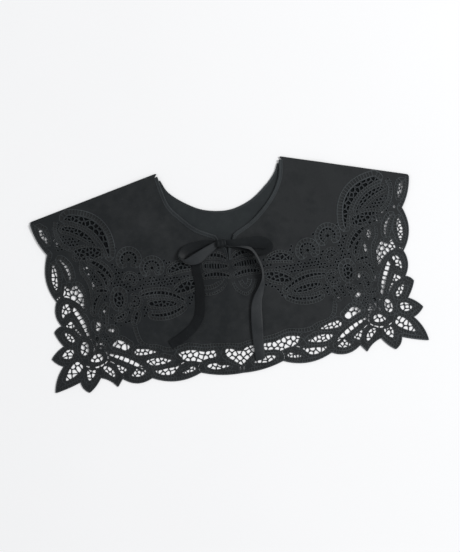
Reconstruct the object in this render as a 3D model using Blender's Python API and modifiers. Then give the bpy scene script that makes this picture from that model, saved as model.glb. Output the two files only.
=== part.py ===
"""A cape collar of black cotton with a cutwork border, laid flat, front up, and tied with a ribbon bow.

Sizes are in millimetres, and MM turns them to metres. x runs to the wearer's left, y up to the neck, z up from
the surface that the collar lies on. The right half of the pattern is stated, and the left half mirrors it.
"""

import math
from typing import NamedTuple

import bmesh
import bpy
import numpy as np
from mathutils.geometry import delaunay_2d_cdt

MM = 0.001
CENTRE = (1.0, 9.8)  # the middle of the whole collar, which stands on the frame's origin

CLOTH = 1.2  # the panels' wall
GAP = 0.3  # between pieces that touch
RIBBON = 1.0  # the tie's wall
NECK_BINDING = 5.5  # the width of the front neck binding
SLIT_BINDING = 3.0  # the same strip where it runs down the slit
BACK_BINDING = 3.0
BAR = 1.5  # the thread bar between two holes of the lace
LEAST_CELL = 3.0  # a hole shorter than this stays closed

BACK_MIDDLE = CLOTH / 2  # the height of the middle of the back panel's wall
FRONT_MIDDLE = BACK_MIDDLE + CLOTH + GAP  # and of the front panel's, where it lies on the back
FOLD_RADIUS = (FRONT_MIDDLE - BACK_MIDDLE) / 2
FOLD_REACH = FOLD_RADIUS + CLOTH / 2  # how far in from the shoulder's outer face the cloth starts to turn
FOLD_STEPS = 3
TURN_UNDER = 6.0  # the front's strip beneath the shoulder fold
FOLD_INSET = 3.0  # how far that strip is cut back at its two ends
DROP_START = 7.0  # how far past the back panel's edge the front starts to sink to the floor
DROP_END = 21.0  # and where it reaches it
SLOPE_TOP = 95.0  # the highest place on the pattern where the slope gets points of its own
EDGE_ROOM = 3.0  # how far those points stay from the outline
CELL_ROOM = 2.0  # from a hole
POINT_ROOM = 4.0  # and from each other
ARC_STEP = 5.0  # the longest chord on a round edge
FOLD_STEP = 12.0  # along a fold
RUNG_STEP = 8.0  # and along the ribbon


class Corner(NamedTuple):
    """A corner of an outline, and how far the edge that arrives there bulges outwards."""

    x: float
    y: float
    bulge: float


class Shift(NamedTuple):
    """How the left half departs from a mirror image, at one height."""

    height: float
    wider: float
    higher: float


class Ladder(NamedTuple):
    """A row of holes between thread bars: its ends, its bow to the left, its widths and its holes."""

    x0: float
    y0: float
    x1: float
    y1: float
    bow: float
    start: float
    middle: float
    end: float
    lanes: int
    holes: int


class Rung(NamedTuple):
    """One section of a ribbon: its two edges, and how far each stands above the cloth."""

    ax: float
    ay: float
    a_up: float
    bx: float
    by: float
    b_up: float


FRONT_EDGE = (
    Corner(0.0, -133.5, 0.0),
    Corner(57.0, -125.0, 3.0),
    Corner(124.5, -123.0, 8.0),
    Corner(165.0, -118.0, 7.0),
    Corner(173.0, -128.5, 0.0),
    Corner(195.0, -113.0, -2.5),
    Corner(212.5, -131.0, 1.5),
    Corner(222.5, -115.0, 2.5),
    Corner(258.5, -125.0, 0.8),
    Corner(242.0, -91.0, 3.0),
    Corner(257.0, -79.0, 1.5),
    Corner(238.0, -64.0, 1.5),
    Corner(249.5, -42.0, 1.0),
    Corner(238.5, -34.0, 1.5),
    Corner(241.0, 1.0, 5.0),
    Corner(247.0, 60.0, 8.5),
    Corner(262.5, 102.0, 3.0),
)

BACK_EDGE = (
    Corner(0.0, -64.0, 0.0),
    Corner(58.0, -60.0, 4.0),
    Corner(112.0, -59.0, 5.0),
    Corner(156.0, -54.0, 4.0),
    Corner(163.0, -46.0, 1.0),
    Corner(181.0, -73.0, 1.5),
    Corner(184.5, -59.0, 1.5),
    Corner(199.0, -66.0, 1.0),
    Corner(192.5, -51.0, 1.5),
    Corner(205.0, -45.0, 1.0),
    Corner(194.0, -34.0, 1.5),
    Corner(199.0, 2.0, 3.5),
    Corner(216.0, 40.0, 4.5),
    Corner(236.0, 68.0, 4.0),
    Corner(249.0, 99.0, 2.0),
)

LEFT_SHIFTS = (
    Shift(-60.0, 0.0, 0.0),
    Shift(-34.0, -1.5, -2.0),
    Shift(1.0, -1.5, -3.0),
    Shift(60.0, -4.0, 4.0),
    Shift(102.0, -2.0, 6.5),
)

# The two ends of each shoulder fold, the neck's first
RIGHT_SHOULDER = ((91.0, 153.8), (263.0, 104.2))
LEFT_SHOULDER = ((-80.0, 154.0), (-261.0, 112.0))

RIGHT_NECK = ((89.5, 149.0), (84.5, 123.0), (69.0, 98.0), (43.0, 73.5), (13.5, 57.0))
RIGHT_SLIT = ((13.5, 57.0), (9.8, 48.0), (3.8, 38.0), (2.3, 22.0))
LEFT_NECK = ((-79.0, 149.0), (-70.0, 110.6), (-55.0, 90.0), (-36.0, 71.0), (-10.6, 57.5))
LEFT_SLIT = ((-10.6, 57.5), (-6.6, 48.0), (0.4, 38.0), (1.7, 22.0))
BACK_NECK = (
    (86.5, 144.5), (80.5, 132.0), (67.5, 118.0), (42.6, 99.6), (11.6, 90.4),
    (-22.0, 95.0), (-48.0, 109.0), (-67.5, 126.0), (-76.0, 143.5),
)

FRONT_LACE = (
    # The five petals of the corner flower, from the side round to the hem
    Ladder(222.0, -59.0, 237.0, -45.0, 0.0, 4.0, 7.5, 5.0, 1, 3),
    Ladder(224.5, -75.5, 245.0, -76.0, 0.0, 8.0, 13.0, 6.0, 2, 3),
    Ladder(218.5, -92.0, 245.5, -112.5, 0.0, 11.0, 14.0, 6.0, 2, 4),
    Ladder(205.5, -99.5, 209.5, -118.0, 0.0, 10.0, 13.0, 6.0, 2, 2),
    Ladder(190.0, -99.0, 174.5, -114.0, 0.0, 6.0, 9.5, 6.0, 1, 2),
    # Its heart, two lobes
    Ladder(209.5, -60.5, 211.0, -80.5, 2.0, 7.0, 15.0, 8.0, 2, 2),
    Ladder(186.5, -86.5, 207.0, -87.0, 0.0, 7.0, 12.5, 6.0, 2, 2),
    # The tall ladder beside the side edge, and the net at its top
    Ladder(204.0, -54.0, 219.5, -12.0, 1.5, 4.5, 6.5, 6.5, 1, 5),
    Ladder(221.5, -8.5, 238.0, -18.5, 2.0, 6.0, 12.0, 8.0, 2, 2),
    Ladder(213.5, -51.0, 222.0, -36.5, 0.0, 3.5, 4.5, 4.5, 1, 2),
    Ladder(223.0, -33.0, 234.0, -35.0, 0.0, 9.0, 8.0, 5.0, 1, 2),
    # The long ladder above the hem, and the net at its end
    Ladder(178.0, -82.5, 138.0, -105.5, 2.0, 4.0, 6.5, 6.5, 1, 6),
    Ladder(132.0, -112.0, 152.5, -113.0, 0.0, 8.0, 12.0, 7.0, 2, 2),
    Ladder(171.5, -98.0, 157.5, -107.5, 0.0, 4.5, 6.5, 7.0, 1, 2),
    # The open nets that lie towards the cloth
    Ladder(149.0, -77.5, 173.0, -71.5, -1.0, 6.0, 12.0, 8.0, 1, 3),
    Ladder(206.0, -11.0, 210.5, 13.5, 0.0, 5.0, 8.5, 9.0, 1, 3),
    Ladder(216.0, -1.0, 217.5, 12.0, 0.0, 7.0, 6.0, 5.0, 1, 2),
    Ladder(223.5, 3.0, 229.0, 18.0, 0.0, 7.0, 9.0, 5.0, 1, 2),
    Ladder(169.5, -59.5, 172.0, -46.5, 0.0, 6.0, 6.5, 5.5, 1, 2),
    # The side scallops and the crescent inside them
    Ladder(240.5, 49.0, 240.0, 12.0, -2.0, 4.0, 8.5, 4.0, 1, 5),
    Ladder(254.0, 95.0, 245.5, 73.0, -1.5, 4.0, 8.0, 4.0, 1, 3),
    Ladder(232.0, 52.0, 220.5, 27.0, -4.0, 4.0, 7.0, 4.0, 1, 3),
    # The eyes and nets above the hem's scallops
    Ladder(117.0, -87.5, 146.0, -84.5, 0.0, 4.5, 6.5, 6.0, 1, 4),
    Ladder(94.0, -102.0, 130.0, -101.5, 0.0, 8.0, 12.0, 7.0, 2, 4),
    Ladder(86.0, -112.5, 122.0, -114.5, 4.5, 4.5, 7.0, 5.0, 1, 5),
    Ladder(31.5, -102.0, 84.0, -100.0, 1.5, 15.0, 17.0, 12.0, 2, 6),
    Ladder(12.0, -98.5, 6.0, -121.5, 0.0, 15.0, 13.0, 5.0, 2, 3),
    Ladder(14.0, -119.5, 50.0, -119.0, 1.0, 4.5, 8.0, 4.5, 1, 5),
    Ladder(65.0, -119.5, 85.0, -119.5, 0.0, 5.0, 7.5, 5.0, 1, 3),
)

BACK_LACE = (
    Ladder(240.5, 89.0, 231.5, 68.0, -1.0, 4.0, 6.5, 4.0, 1, 3),
    Ladder(223.0, 60.0, 207.0, 36.0, -1.0, 4.0, 7.0, 4.5, 1, 4),
    Ladder(199.0, 26.0, 194.5, 4.0, -1.0, 4.5, 6.5, 4.5, 1, 3),
    Ladder(181.5, -36.0, 183.0, -56.0, 0.0, 8.0, 12.0, 7.0, 2, 2),
    Ladder(146.0, -51.0, 118.0, -54.0, 0.0, 4.5, 6.5, 5.0, 1, 4),
    Ladder(104.0, -55.0, 66.0, -56.0, 0.0, 4.5, 6.5, 4.5, 1, 5),
    Ladder(50.0, -56.5, 10.0, -58.0, 0.0, 4.5, 6.5, 4.5, 1, 5),
)

LEFT_LOOP = (
    Rung(-12.3, 51.5, 1.0, -12.3, 43.5, 0.4),
    Rung(-33.0, 54.0, 1.2, -32.0, 42.0, 0.35),
    Rung(-55.0, 50.0, 2.4, -48.0, 37.5, 0.35),
    Rung(-64.0, 42.0, 5.5, -56.0, 32.0, 0.8),
    Rung(-65.0, 34.5, 8.5, -57.5, 26.0, 2.4),
    Rung(-57.5, 31.5, 9.5, -50.0, 22.5, 3.4),
    Rung(-46.0, 36.0, 9.5, -38.0, 23.0, 4.4),
    Rung(-30.0, 43.0, 8.4, -25.0, 31.5, 5.0),
    Rung(-12.3, 50.5, 6.4, -12.3, 41.5, 5.4),
)

RIGHT_LOOP = (
    Rung(2.3, 49.5, 6.5, 2.3, 45.8, 2.4),
    Rung(18.0, 49.0, 6.8, 18.0, 43.6, 1.0),
    Rung(34.0, 49.3, 6.8, 31.0, 40.8, 0.3),
    Rung(50.0, 48.5, 6.5, 44.0, 38.8, 0.35),
    Rung(61.0, 42.0, 6.0, 51.0, 36.0, 0.35),
    Rung(65.3, 33.0, 5.2, 53.5, 31.8, 0.35),
    Rung(61.0, 25.2, 4.2, 50.0, 29.0, 0.35),
    Rung(50.0, 22.2, 3.2, 42.0, 30.6, 0.35),
    Rung(36.0, 25.5, 2.0, 31.0, 34.4, 0.35),
    Rung(20.0, 33.5, 1.4, 18.0, 39.4, 0.35),
    Rung(2.3, 41.0, 0.8, 2.3, 45.0, 0.35),
)

RIGHT_TAIL = (
    Rung(2.3, 44.4, 9.6, 2.3, 41.6, 3.4),
    Rung(14.0, 42.2, 11.8, 13.4, 39.4, 3.8),
    Rung(25.0, 38.6, 13.4, 24.0, 35.8, 4.2),
    Rung(35.5, 32.6, 14.2, 33.6, 30.4, 4.6),
    Rung(43.0, 20.0, 13.6, 40.4, 18.8, 4.4),
    Rung(47.0, 5.0, 11.5, 44.2, 4.6, 1.6),
    Rung(46.6, -8.0, 9.6, 44.6, -8.0, 0.4),
    Rung(38.6, -20.0, 6.4, 45.6, -19.6, 0.35),
    Rung(30.5, -31.0, 2.6, 42.6, -30.0, 0.35),
    Rung(24.5, -43.0, 0.6, 38.6, -42.0, 0.35),
    Rung(21.5, -60.0, 0.35, 36.8, -60.0, 0.35),
    Rung(20.0, -80.0, 0.35, 35.2, -80.0, 0.35),
    Rung(19.4, -100.0, 0.35, 33.4, -100.0, 0.35),
    Rung(20.0, -119.0, 0.35, 32.5, -119.0, 0.35),
)

LEFT_TAIL = (
    Rung(-12.6, 37.4, 0.6, -13.4, 41.6, 0.35),
    Rung(-22.0, 32.4, 1.2, -26.0, 38.6, 0.35),
    Rung(-32.0, 26.6, 1.8, -40.0, 33.4, 0.35),
    Rung(-38.0, 18.0, 2.4, -49.0, 23.0, 0.35),
    Rung(-36.8, 4.0, 3.0, -49.2, 6.0, 0.35),
    Rung(-36.2, -10.0, 3.4, -48.8, -9.6, 0.35),
    Rung(-37.8, -27.0, 3.6, -50.4, -25.6, 0.35),
    Rung(-39.6, -42.0, 3.4, -52.4, -38.6, 0.35),
    Rung(-44.0, -54.0, 3.0, -55.6, -47.4, 0.35),
    Rung(-52.4, -65.0, 2.6, -61.6, -56.2, 0.35),
    Rung(-63.0, -73.6, 1.8, -70.4, -62.8, 0.35),
    Rung(-76.0, -81.4, 1.0, -81.4, -69.8, 0.35),
    Rung(-91.0, -88.0, 0.3, -95.2, -76.0, 0.35),
)

KNOT_LOW = (-11.9, 40.4, GAP)  # the knot's lowest corner, the height above the front panel
KNOT_HIGH = (1.9, 51.8, 11.5)
KNOT_BEVEL = 2.4


def arc_points(start, end, bulge, longest=ARC_STEP):
    """Points from start to just before end, on an arc that stands bulge to the right of its chord."""
    start, end = np.array(start, float), np.array(end, float)
    chord = end - start
    length = np.hypot(*chord)
    steps = 1 if abs(bulge) < 0.05 else max(3, math.ceil(length / longest))
    out = np.array([chord[1], -chord[0]]) / length
    along = np.arange(steps) / steps
    height = 4 * bulge * along * (1 - along)
    return start + along[:, None] * chord + height[:, None] * out


def edge_points(corners):
    """The points of an outer edge, from the hem's centre to the shoulder."""
    runs = [arc_points(a[:2], b[:2], b.bulge) for a, b in zip(corners, corners[1:])]
    return np.vstack([*runs, [corners[-1][:2]]])


def left_of(points):
    """The left half's points, from the right half's."""
    table = np.array(LEFT_SHIFTS)
    wider = np.interp(points[:, 1], table[:, 0], table[:, 1])
    higher = np.interp(points[:, 1], table[:, 0], table[:, 2])
    return np.column_stack([-(points[:, 0] + wider), points[:, 1] + higher])


def smooth_curve(knots, step=4.0):
    """Points on a smooth curve through the knots, about a step apart."""
    knots = np.array(knots, float)
    ends = np.vstack([2 * knots[0] - knots[1], knots, 2 * knots[-1] - knots[-2]])
    points = []
    for before, start, end, after in zip(ends, ends[1:], ends[2:], ends[3:]):
        count = max(2, round(np.linalg.norm(end - start) / step))
        t = (np.arange(count) / count)[:, None]
        points.append(
            0.5 * (2 * start + (end - before) * t
                   + (2 * before - 5 * start + 4 * end - after) * t**2
                   + (3 * start - before - 3 * end + after) * t**3)
        )
    return np.vstack([*points, knots[-1:]])


def inset(path, widths):
    """The path moved to its left by the widths, with mitred corners."""
    steps = np.diff(path, axis=0)
    steps /= np.linalg.norm(steps, axis=1)[:, None]
    before, after = np.vstack([steps[:1], steps]), np.vstack([steps, steps[-1:]])
    bisector = before + after
    bisector /= np.linalg.norm(bisector, axis=1)[:, None]
    mitre = 1 / np.maximum(np.sum(bisector * after, axis=1), 0.5)
    left = np.column_stack([-bisector[:, 1], bisector[:, 0]])
    return path + left * (mitre * widths)[:, None]


def inside(points, ring):
    """Whether each point lies within a closed ring."""
    x, y = points[:, 0, None], points[:, 1, None]
    x0, y0 = ring[:, 0], ring[:, 1]
    x1, y1 = np.roll(x0, -1), np.roll(y0, -1)
    rise = np.where(y1 == y0, 1.0, y1 - y0)
    crosses = ((y0 > y) != (y1 > y)) & (x < (x1 - x0) * (y - y0) / rise + x0)
    return crosses.sum(axis=1) % 2 == 1


def distance(points, ring, closed=True):
    """Each point's distance to a ring's nearest side."""
    start = ring if closed else ring[:-1]
    side = (np.roll(ring, -1, axis=0) if closed else ring[1:]) - start
    to_point = points[:, None] - start
    along = np.clip(np.sum(to_point * side, axis=2) / np.sum(side * side, axis=1), 0, 1)
    return np.linalg.norm(to_point - along[..., None] * side, axis=2).min(axis=1)


class Shoulder:
    """A shoulder fold: the line of its outer face, and the pattern's rows of points across it."""

    def __init__(self, ends):
        self.neck, self.tip = (np.array(end) for end in ends)
        self.along = (self.tip - self.neck) / np.linalg.norm(self.tip - self.neck)
        inward = np.array([self.along[1], -self.along[0]])
        self.inward = inward if inward[1] < 0 else -inward

    def depth(self, points):
        """How far in from the fold's outer face each point of the pattern is."""
        return (points - self.neck) @ self.inward

    def row(self, depth):
        """Points at one depth, from the tip to the neck."""
        cut_back = FOLD_INSET * max(0.0, 1 - max(depth, -1.0) / FOLD_REACH)
        tip = self.tip - self.along * cut_back + self.inward * depth
        neck = self.neck + self.along * cut_back + self.inward * depth
        count = round(np.linalg.norm(tip - neck) / FOLD_STEP)
        share = np.linspace(0, 1, count + 1)[:, None]
        return tip + share * (neck - tip)

    def rows(self):
        """The rows where the cloth starts to turn, turns, and ends beneath."""
        turn = [FOLD_REACH - FOLD_RADIUS * math.pi * step / FOLD_STEPS for step in range(FOLD_STEPS + 1)]
        return [self.row(depth) for depth in (*turn, turn[-1] - TURN_UNDER)]

    def up_to_fold(self, points):
        """The points, with those past the fold brought back to where the cloth starts to turn."""
        return points + np.maximum(FOLD_REACH - self.depth(points), 0.0)[:, None] * self.inward

    def bend(self, points, height):
        """The pattern's points in space, with those past the fold turned under."""
        depth = self.depth(points)
        past = np.maximum(FOLD_REACH - depth, 0.0)
        angle = np.minimum(past / FOLD_RADIUS, math.pi)
        under = past - FOLD_RADIUS * angle
        new_depth = np.where(past > 0, FOLD_REACH - FOLD_RADIUS * np.sin(angle) + under, depth)
        new_height = height - FOLD_RADIUS * (1 - np.cos(angle))
        return points + (new_depth - depth)[:, None] * self.inward, new_height


SHOULDERS = {"right": Shoulder(RIGHT_SHOULDER), "left": Shoulder(LEFT_SHOULDER)}
BACK_DEPTH = FOLD_REACH + TURN_UNDER + GAP  # where the back panel ends beneath the fold


def ladder_cells(ladder):
    """The holes of a ladder, four corners each, from its start to its end."""
    start, end = np.array(ladder[:2]), np.array(ladder[2:4])
    chord = end - start
    length = np.hypot(*chord)
    left = np.array([-chord[1], chord[0]]) / length

    def place(t, across):
        width = (
            ladder.start * (1 - t) * (1 - 2 * t) + 4 * ladder.middle * t * (1 - t) + ladder.end * t * (2 * t - 1)
        )
        return start + t * chord + left * (4 * ladder.bow * t * (1 - t) + width * across)

    cells = []
    half_bar = BAR / 2 / length
    for hole in range(ladder.holes):
        t0, t1 = hole / ladder.holes + half_bar, (hole + 1) / ladder.holes - half_bar
        for lane in range(ladder.lanes):
            low, high = lane / ladder.lanes - 0.5, (lane + 1) / ladder.lanes - 0.5
            trim = BAR / 2 / ladder.middle if ladder.lanes > 1 else 0.0
            low, high = low + (trim if lane else 0.0), high - (trim if lane < ladder.lanes - 1 else 0.0)
            cells.append(np.array([place(t0, low), place(t1, low), place(t1, high), place(t0, high)]))
    return cells


def lace_cells(lace, outline):
    """Both halves' holes, but for those too near the edge or another hole to leave a bar between them."""
    kept = []
    for ladder in lace:
        for cell in ladder_cells(ladder):
            for shape in (cell, left_of(cell)[::-1]):
                short = np.linalg.norm(shape[0] - shape[2]) < LEAST_CELL
                crowded = any(distance(shape, other).min() < BAR / 2 for other in kept)
                if not (short or crowded or distance(shape, outline).min() < BAR):
                    kept.append(shape)
    return kept


def back_outline():
    """The back panel's closed outline: its edges, and the neck inside its binding."""
    right = edge_points(BACK_EDGE)
    right = right[SHOULDERS["right"].depth(right) > BACK_DEPTH + 1]
    left = left_of(right)
    neck = inset(smooth_curve(BACK_NECK), np.full(len(smooth_curve(BACK_NECK)), BACK_BINDING + GAP))
    corners = [shoulder_line("right", right[-1], neck[0]), shoulder_line("left", neck[-1], left[-1])]
    return np.vstack([right, corners[0], neck, corners[1], left[::-1][:-1]])


def shoulder_line(side, first, last):
    """The two corners of the back panel beneath one fold, level with the points on either side."""
    shoulder = SHOULDERS[side]
    move = [(BACK_DEPTH - shoulder.depth(point[None]))[:, None] * shoulder.inward for point in (first, last)]
    return np.vstack([first + move[0], last + move[1]])


BACK_OUTLINE = back_outline()
# The back panel's reach without its neck opening, which the front lies over all the way up
BACK_REACH = np.vstack([
    edge_points(BACK_EDGE), RIGHT_SHOULDER[1], RIGHT_SHOULDER[0], LEFT_SHOULDER[0], LEFT_SHOULDER[1],
    left_of(edge_points(BACK_EDGE))[:0:-1],
])


def front_height(points):
    """The middle of the front panel's wall: on the back panel, and sinking to the floor past its edge."""
    outside = np.where(inside(points, BACK_REACH), 0.0, distance(points, BACK_REACH))
    share = np.clip((outside - DROP_START) / (DROP_END - DROP_START), 0.0, 1.0)
    return FRONT_MIDDLE + (BACK_MIDDLE - FRONT_MIDDLE) * share**2 * (3 - 2 * share)


def neck_and_slit(neck, slit):
    """One side's path along the neck and down the slit, with the width of its binding at each point."""
    neck_run, slit_run = smooth_curve(neck), smooth_curve(slit)
    widths = np.concatenate([
        np.full(len(neck_run) - 1, NECK_BINDING),
        np.interp(np.arange(len(slit_run)), (0, len(slit_run) - 1), (NECK_BINDING, SLIT_BINDING)),
    ])
    return np.vstack([neck_run[:-1], slit_run]), widths


def front_outline():
    """The front panel's closed outline, and the rows of points across its shoulder folds."""
    right = edge_points(FRONT_EDGE)
    left = left_of(right)
    right_path, right_widths = neck_and_slit(RIGHT_NECK, RIGHT_SLIT)
    left_path, left_widths = neck_and_slit(LEFT_NECK, LEFT_SLIT)
    right_neck = inset(right_path, right_widths + GAP)
    left_neck = inset(left_path, -(left_widths + GAP))
    rows = {side: shoulder.rows() for side, shoulder in SHOULDERS.items()}
    right_tip, right_top = ([row[end] for row in rows["right"]] for end in (0, -1))
    left_tip, left_top = ([row[end] for row in rows["left"]] for end in (0, -1))
    outline = np.vstack([
        right, right_tip, rows["right"][-1][1:-1], right_top[::-1], right_neck,
        left_neck[::-1], left_top, rows["left"][-1][1:-1][::-1], left_tip[::-1], left[::-1][:-1],
    ])
    return outline, rows


def drop_points(outline, cells):
    """Points along the front's slope to the floor, so that its wall clears the back panel's edge."""
    ring = np.vstack([edge_points(BACK_EDGE), left_of(edge_points(BACK_EDGE))[::-1][:-1]])
    points = []
    for away in (DROP_START / 2, DROP_START, (DROP_START + DROP_END) / 2, DROP_END):
        points.append(inset(ring, np.full(len(ring), -away)))
    points = np.vstack(points)
    below_shoulder = points[:, 1] < SLOPE_TOP
    clear = inside(points, outline) & (distance(points, outline) > EDGE_ROOM) & below_shoulder
    for cell in cells:
        clear &= ~inside(points, cell) & (distance(points, cell) > CELL_ROOM)
    kept = []
    for point in points[clear]:
        if all(np.linalg.norm(point - other) > POINT_ROOM for other in kept):
            kept.append(point)
    return np.array(kept)


def cloth_mesh(outline, cells, rows=(), extra=()):
    """Triangles that fill the outline but for its holes, with lines along the rows and extra points."""
    rings = [outline, *cells]
    points, edges = [], []
    for ring in rings:
        base = len(points)
        points.extend(ring)
        edges.extend((base + i, base + (i + 1) % len(ring)) for i in range(len(ring)))
    for row in rows:
        base = len(points)
        points.extend(row)
        edges.extend((base + i, base + i + 1) for i in range(len(row) - 1))
    points.extend(extra)
    found, _, faces, *_ = delaunay_2d_cdt([tuple(map(float, p)) for p in points], edges, [], 0, 1e-4)
    found = np.array([tuple(p) for p in found])
    faces = np.array([tuple(face) for face in faces])
    middles = found[faces].mean(axis=1)
    keep = inside(middles, outline)
    for cell in cells:
        keep &= ~inside(middles, cell)
    return found, faces[keep]


def make_material(name, colour, roughness):
    """A plain cloth finish."""
    material = bpy.data.materials.new(name)
    material.use_nodes = True
    shader = material.node_tree.nodes["Principled BSDF"]
    shader.inputs["Base Color"].default_value = (*colour, 1.0)
    shader.inputs["Roughness"].default_value = roughness
    shader.inputs["Metallic"].default_value = 0.0
    return material


def add_shell(name, points, faces, thickness, material, collection):
    """A named object: an open surface in millimetres, given its wall by Solidify."""
    placed = (np.asarray(points) - (*CENTRE, 0.0)) * MM
    mesh = bpy.data.meshes.new(name)
    mesh.from_pydata(placed.tolist(), [], [list(map(int, face)) for face in faces])
    shape = bmesh.new()
    shape.from_mesh(mesh)
    bmesh.ops.delete(shape, geom=[vert for vert in shape.verts if not vert.link_faces], context="VERTS")
    bmesh.ops.recalc_face_normals(shape, faces=shape.faces)
    shape.to_mesh(mesh)
    shape.free()
    mesh.materials.append(material)
    item = bpy.data.objects.new(name, mesh)
    collection.objects.link(item)
    wall = item.modifiers.new("wall", "SOLIDIFY")
    wall.thickness = thickness * MM
    wall.offset = 0.0
    return item


def add_front(material, collection):
    """The front panel, folded under at both shoulders."""
    outline, rows = front_outline()
    cells = lace_cells(FRONT_LACE, outline)
    lines = [row for side in rows.values() for row in side]
    points, faces = cloth_mesh(outline, cells, lines, drop_points(outline, cells))
    flat = points
    for shoulder in SHOULDERS.values():
        flat = shoulder.up_to_fold(flat)
    height = front_height(flat)
    for shoulder in SHOULDERS.values():
        points, height = shoulder.bend(points, height)
    add_shell("front_panel", np.column_stack([points, height]), faces, CLOTH, material, collection)
    return len(cells)


def add_back(material, collection):
    """The back panel, flat on the floor beneath the front."""
    cells = lace_cells(BACK_LACE, BACK_OUTLINE)
    points, faces = cloth_mesh(BACK_OUTLINE, cells)
    height = np.full(len(points), BACK_MIDDLE)
    add_shell("back_panel", np.column_stack([points, height]), faces, CLOTH, material, collection)
    return len(cells)


def add_strip(name, first, second, thickness, material, collection, columns=2):
    """A strip between two edges in space, with a quad for each step and column."""
    share = np.linspace(0, 1, columns + 1)[:, None, None]
    grid = (first * (1 - share) + second * share).transpose(1, 0, 2)
    count = len(first)
    index = np.arange(count * (columns + 1)).reshape(count, columns + 1)
    faces = [
        (index[i, j], index[i + 1, j], index[i + 1, j + 1], index[i, j + 1])
        for i in range(count - 1) for j in range(columns)
    ]
    return add_shell(name, grid.reshape(-1, 3), faces, thickness, material, collection)


def add_bindings(material, collection):
    """The bias strips round the neck and down the slit."""
    sides = (
        ("front_binding_right", RIGHT_NECK, RIGHT_SLIT, 1),
        ("front_binding_left", LEFT_NECK, LEFT_SLIT, -1),
    )
    for name, neck, slit, turn in sides:
        path, widths = neck_and_slit(neck, slit)
        edges = [np.column_stack([edge, front_height(edge)]) for edge in (path, inset(path, turn * widths))]
        add_strip(name, *edges, CLOTH, material, collection, columns=1)
    path = smooth_curve(BACK_NECK)
    edges = [
        np.column_stack([edge, np.full(len(edge), BACK_MIDDLE)])
        for edge in (path, inset(path, np.full(len(path), BACK_BINDING)))
    ]
    add_strip("back_binding", *edges, CLOTH, material, collection, columns=1)


def add_ribbon(name, rungs, material, collection):
    """A stretch of the ribbon, from its rungs, laid on the front panel."""
    table = smooth_curve(rungs, step=RUNG_STEP)
    edges = []
    for edge in (table[:, :3], table[:, 3:]):
        height = front_height(edge[:, :2]) + (CLOTH + RIBBON) / 2 + edge[:, 2]
        edges.append(np.column_stack([edge[:, :2], height]))
    add_strip(name, *edges, RIBBON, material, collection)


def add_knot(material, collection):
    """The knot of the bow, a rounded block over the ribbon's ends."""
    top = FRONT_MIDDLE + CLOTH / 2
    low = np.array(KNOT_LOW) + (0, 0, top)
    high = np.array(KNOT_HIGH) + (0, 0, top)
    mesh = bpy.data.meshes.new("bow_knot")
    shape = bmesh.new()
    bmesh.ops.create_cube(shape, size=1.0)
    for vert in shape.verts:
        place = (low + high) / 2 + (high - low) * np.array(vert.co)
        vert.co = (place - (*CENTRE, 0.0)) * MM
    shape.to_mesh(mesh)
    shape.free()
    mesh.materials.append(material)
    item = bpy.data.objects.new("bow_knot", mesh)
    collection.objects.link(item)
    bevel = item.modifiers.new("round", "BEVEL")
    bevel.width = KNOT_BEVEL * MM
    bevel.segments = 3


def main():
    """Clear the scene and build the collar."""
    for item in list(bpy.data.objects):
        bpy.data.objects.remove(item, do_unlink=True)
    collection = bpy.data.collections.new("lace_collar")
    bpy.context.scene.collection.children.link(collection)
    cotton = make_material("black_cotton", (0.018, 0.019, 0.021), 0.85)
    under = make_material("under_cotton", (0.016, 0.017, 0.019), 0.88)
    binding = make_material("bias_binding", (0.02, 0.021, 0.023), 0.8)
    ribbon = make_material("black_ribbon", (0.014, 0.015, 0.016), 0.55)
    holes = add_front(cotton, collection) + add_back(under, collection)
    print("holes in the lace:", holes)
    add_bindings(binding, collection)
    for name, rungs in (
        ("bow_loop_left", LEFT_LOOP), ("bow_loop_right", RIGHT_LOOP),
        ("bow_tail_left", LEFT_TAIL), ("bow_tail_right", RIGHT_TAIL),
    ):
        add_ribbon(name, rungs, ribbon, collection)
    add_knot(ribbon, collection)


main()
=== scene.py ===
"""A black cotton cape collar with cutwork lace, laid flat and tied with a ribbon bow: its looks.

The pattern is in millimetres, x to the wearer's left and y up to the neck, as it was measured flat. Lie puts
it in the frame, in metres. The right half of the pattern is stated, and each half is laid out from it.
"""

import logging
import math
from dataclasses import dataclass
from enum import Enum
from typing import Callable, Iterable, Sequence

import bmesh
import bpy
import numpy as np
from mathutils.geometry import delaunay_2d_cdt
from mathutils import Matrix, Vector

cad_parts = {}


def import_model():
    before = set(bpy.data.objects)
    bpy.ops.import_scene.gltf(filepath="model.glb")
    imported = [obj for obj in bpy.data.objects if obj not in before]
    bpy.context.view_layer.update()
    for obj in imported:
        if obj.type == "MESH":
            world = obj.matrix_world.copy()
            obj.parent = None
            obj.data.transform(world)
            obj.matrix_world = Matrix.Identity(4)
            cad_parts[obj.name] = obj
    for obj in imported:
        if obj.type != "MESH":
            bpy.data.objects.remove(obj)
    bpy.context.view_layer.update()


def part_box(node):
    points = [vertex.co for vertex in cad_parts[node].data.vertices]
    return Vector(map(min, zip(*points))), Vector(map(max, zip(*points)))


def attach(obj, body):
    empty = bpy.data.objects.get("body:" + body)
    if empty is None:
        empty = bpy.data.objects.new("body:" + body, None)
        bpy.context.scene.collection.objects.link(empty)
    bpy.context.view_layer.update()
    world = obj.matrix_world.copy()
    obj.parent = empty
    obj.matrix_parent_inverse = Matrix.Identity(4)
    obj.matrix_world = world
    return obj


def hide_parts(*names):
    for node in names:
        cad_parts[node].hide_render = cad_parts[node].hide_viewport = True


log = logging.getLogger("lace_collar")

MM = 0.001
SEED = 41
# The point of the pattern, in millimetres, at the middle of the front panel's box
PATTERN_MIDDLE = (1.0, 9.8)


class Half(Enum):
    """One half of the pattern."""

    RIGHT = 1
    LEFT = -1


class Zone(Enum):
    """Where a motif belongs, which decides how it is carried over to the left half."""

    BORDER = "border"
    CHAIN = "chain"


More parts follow.
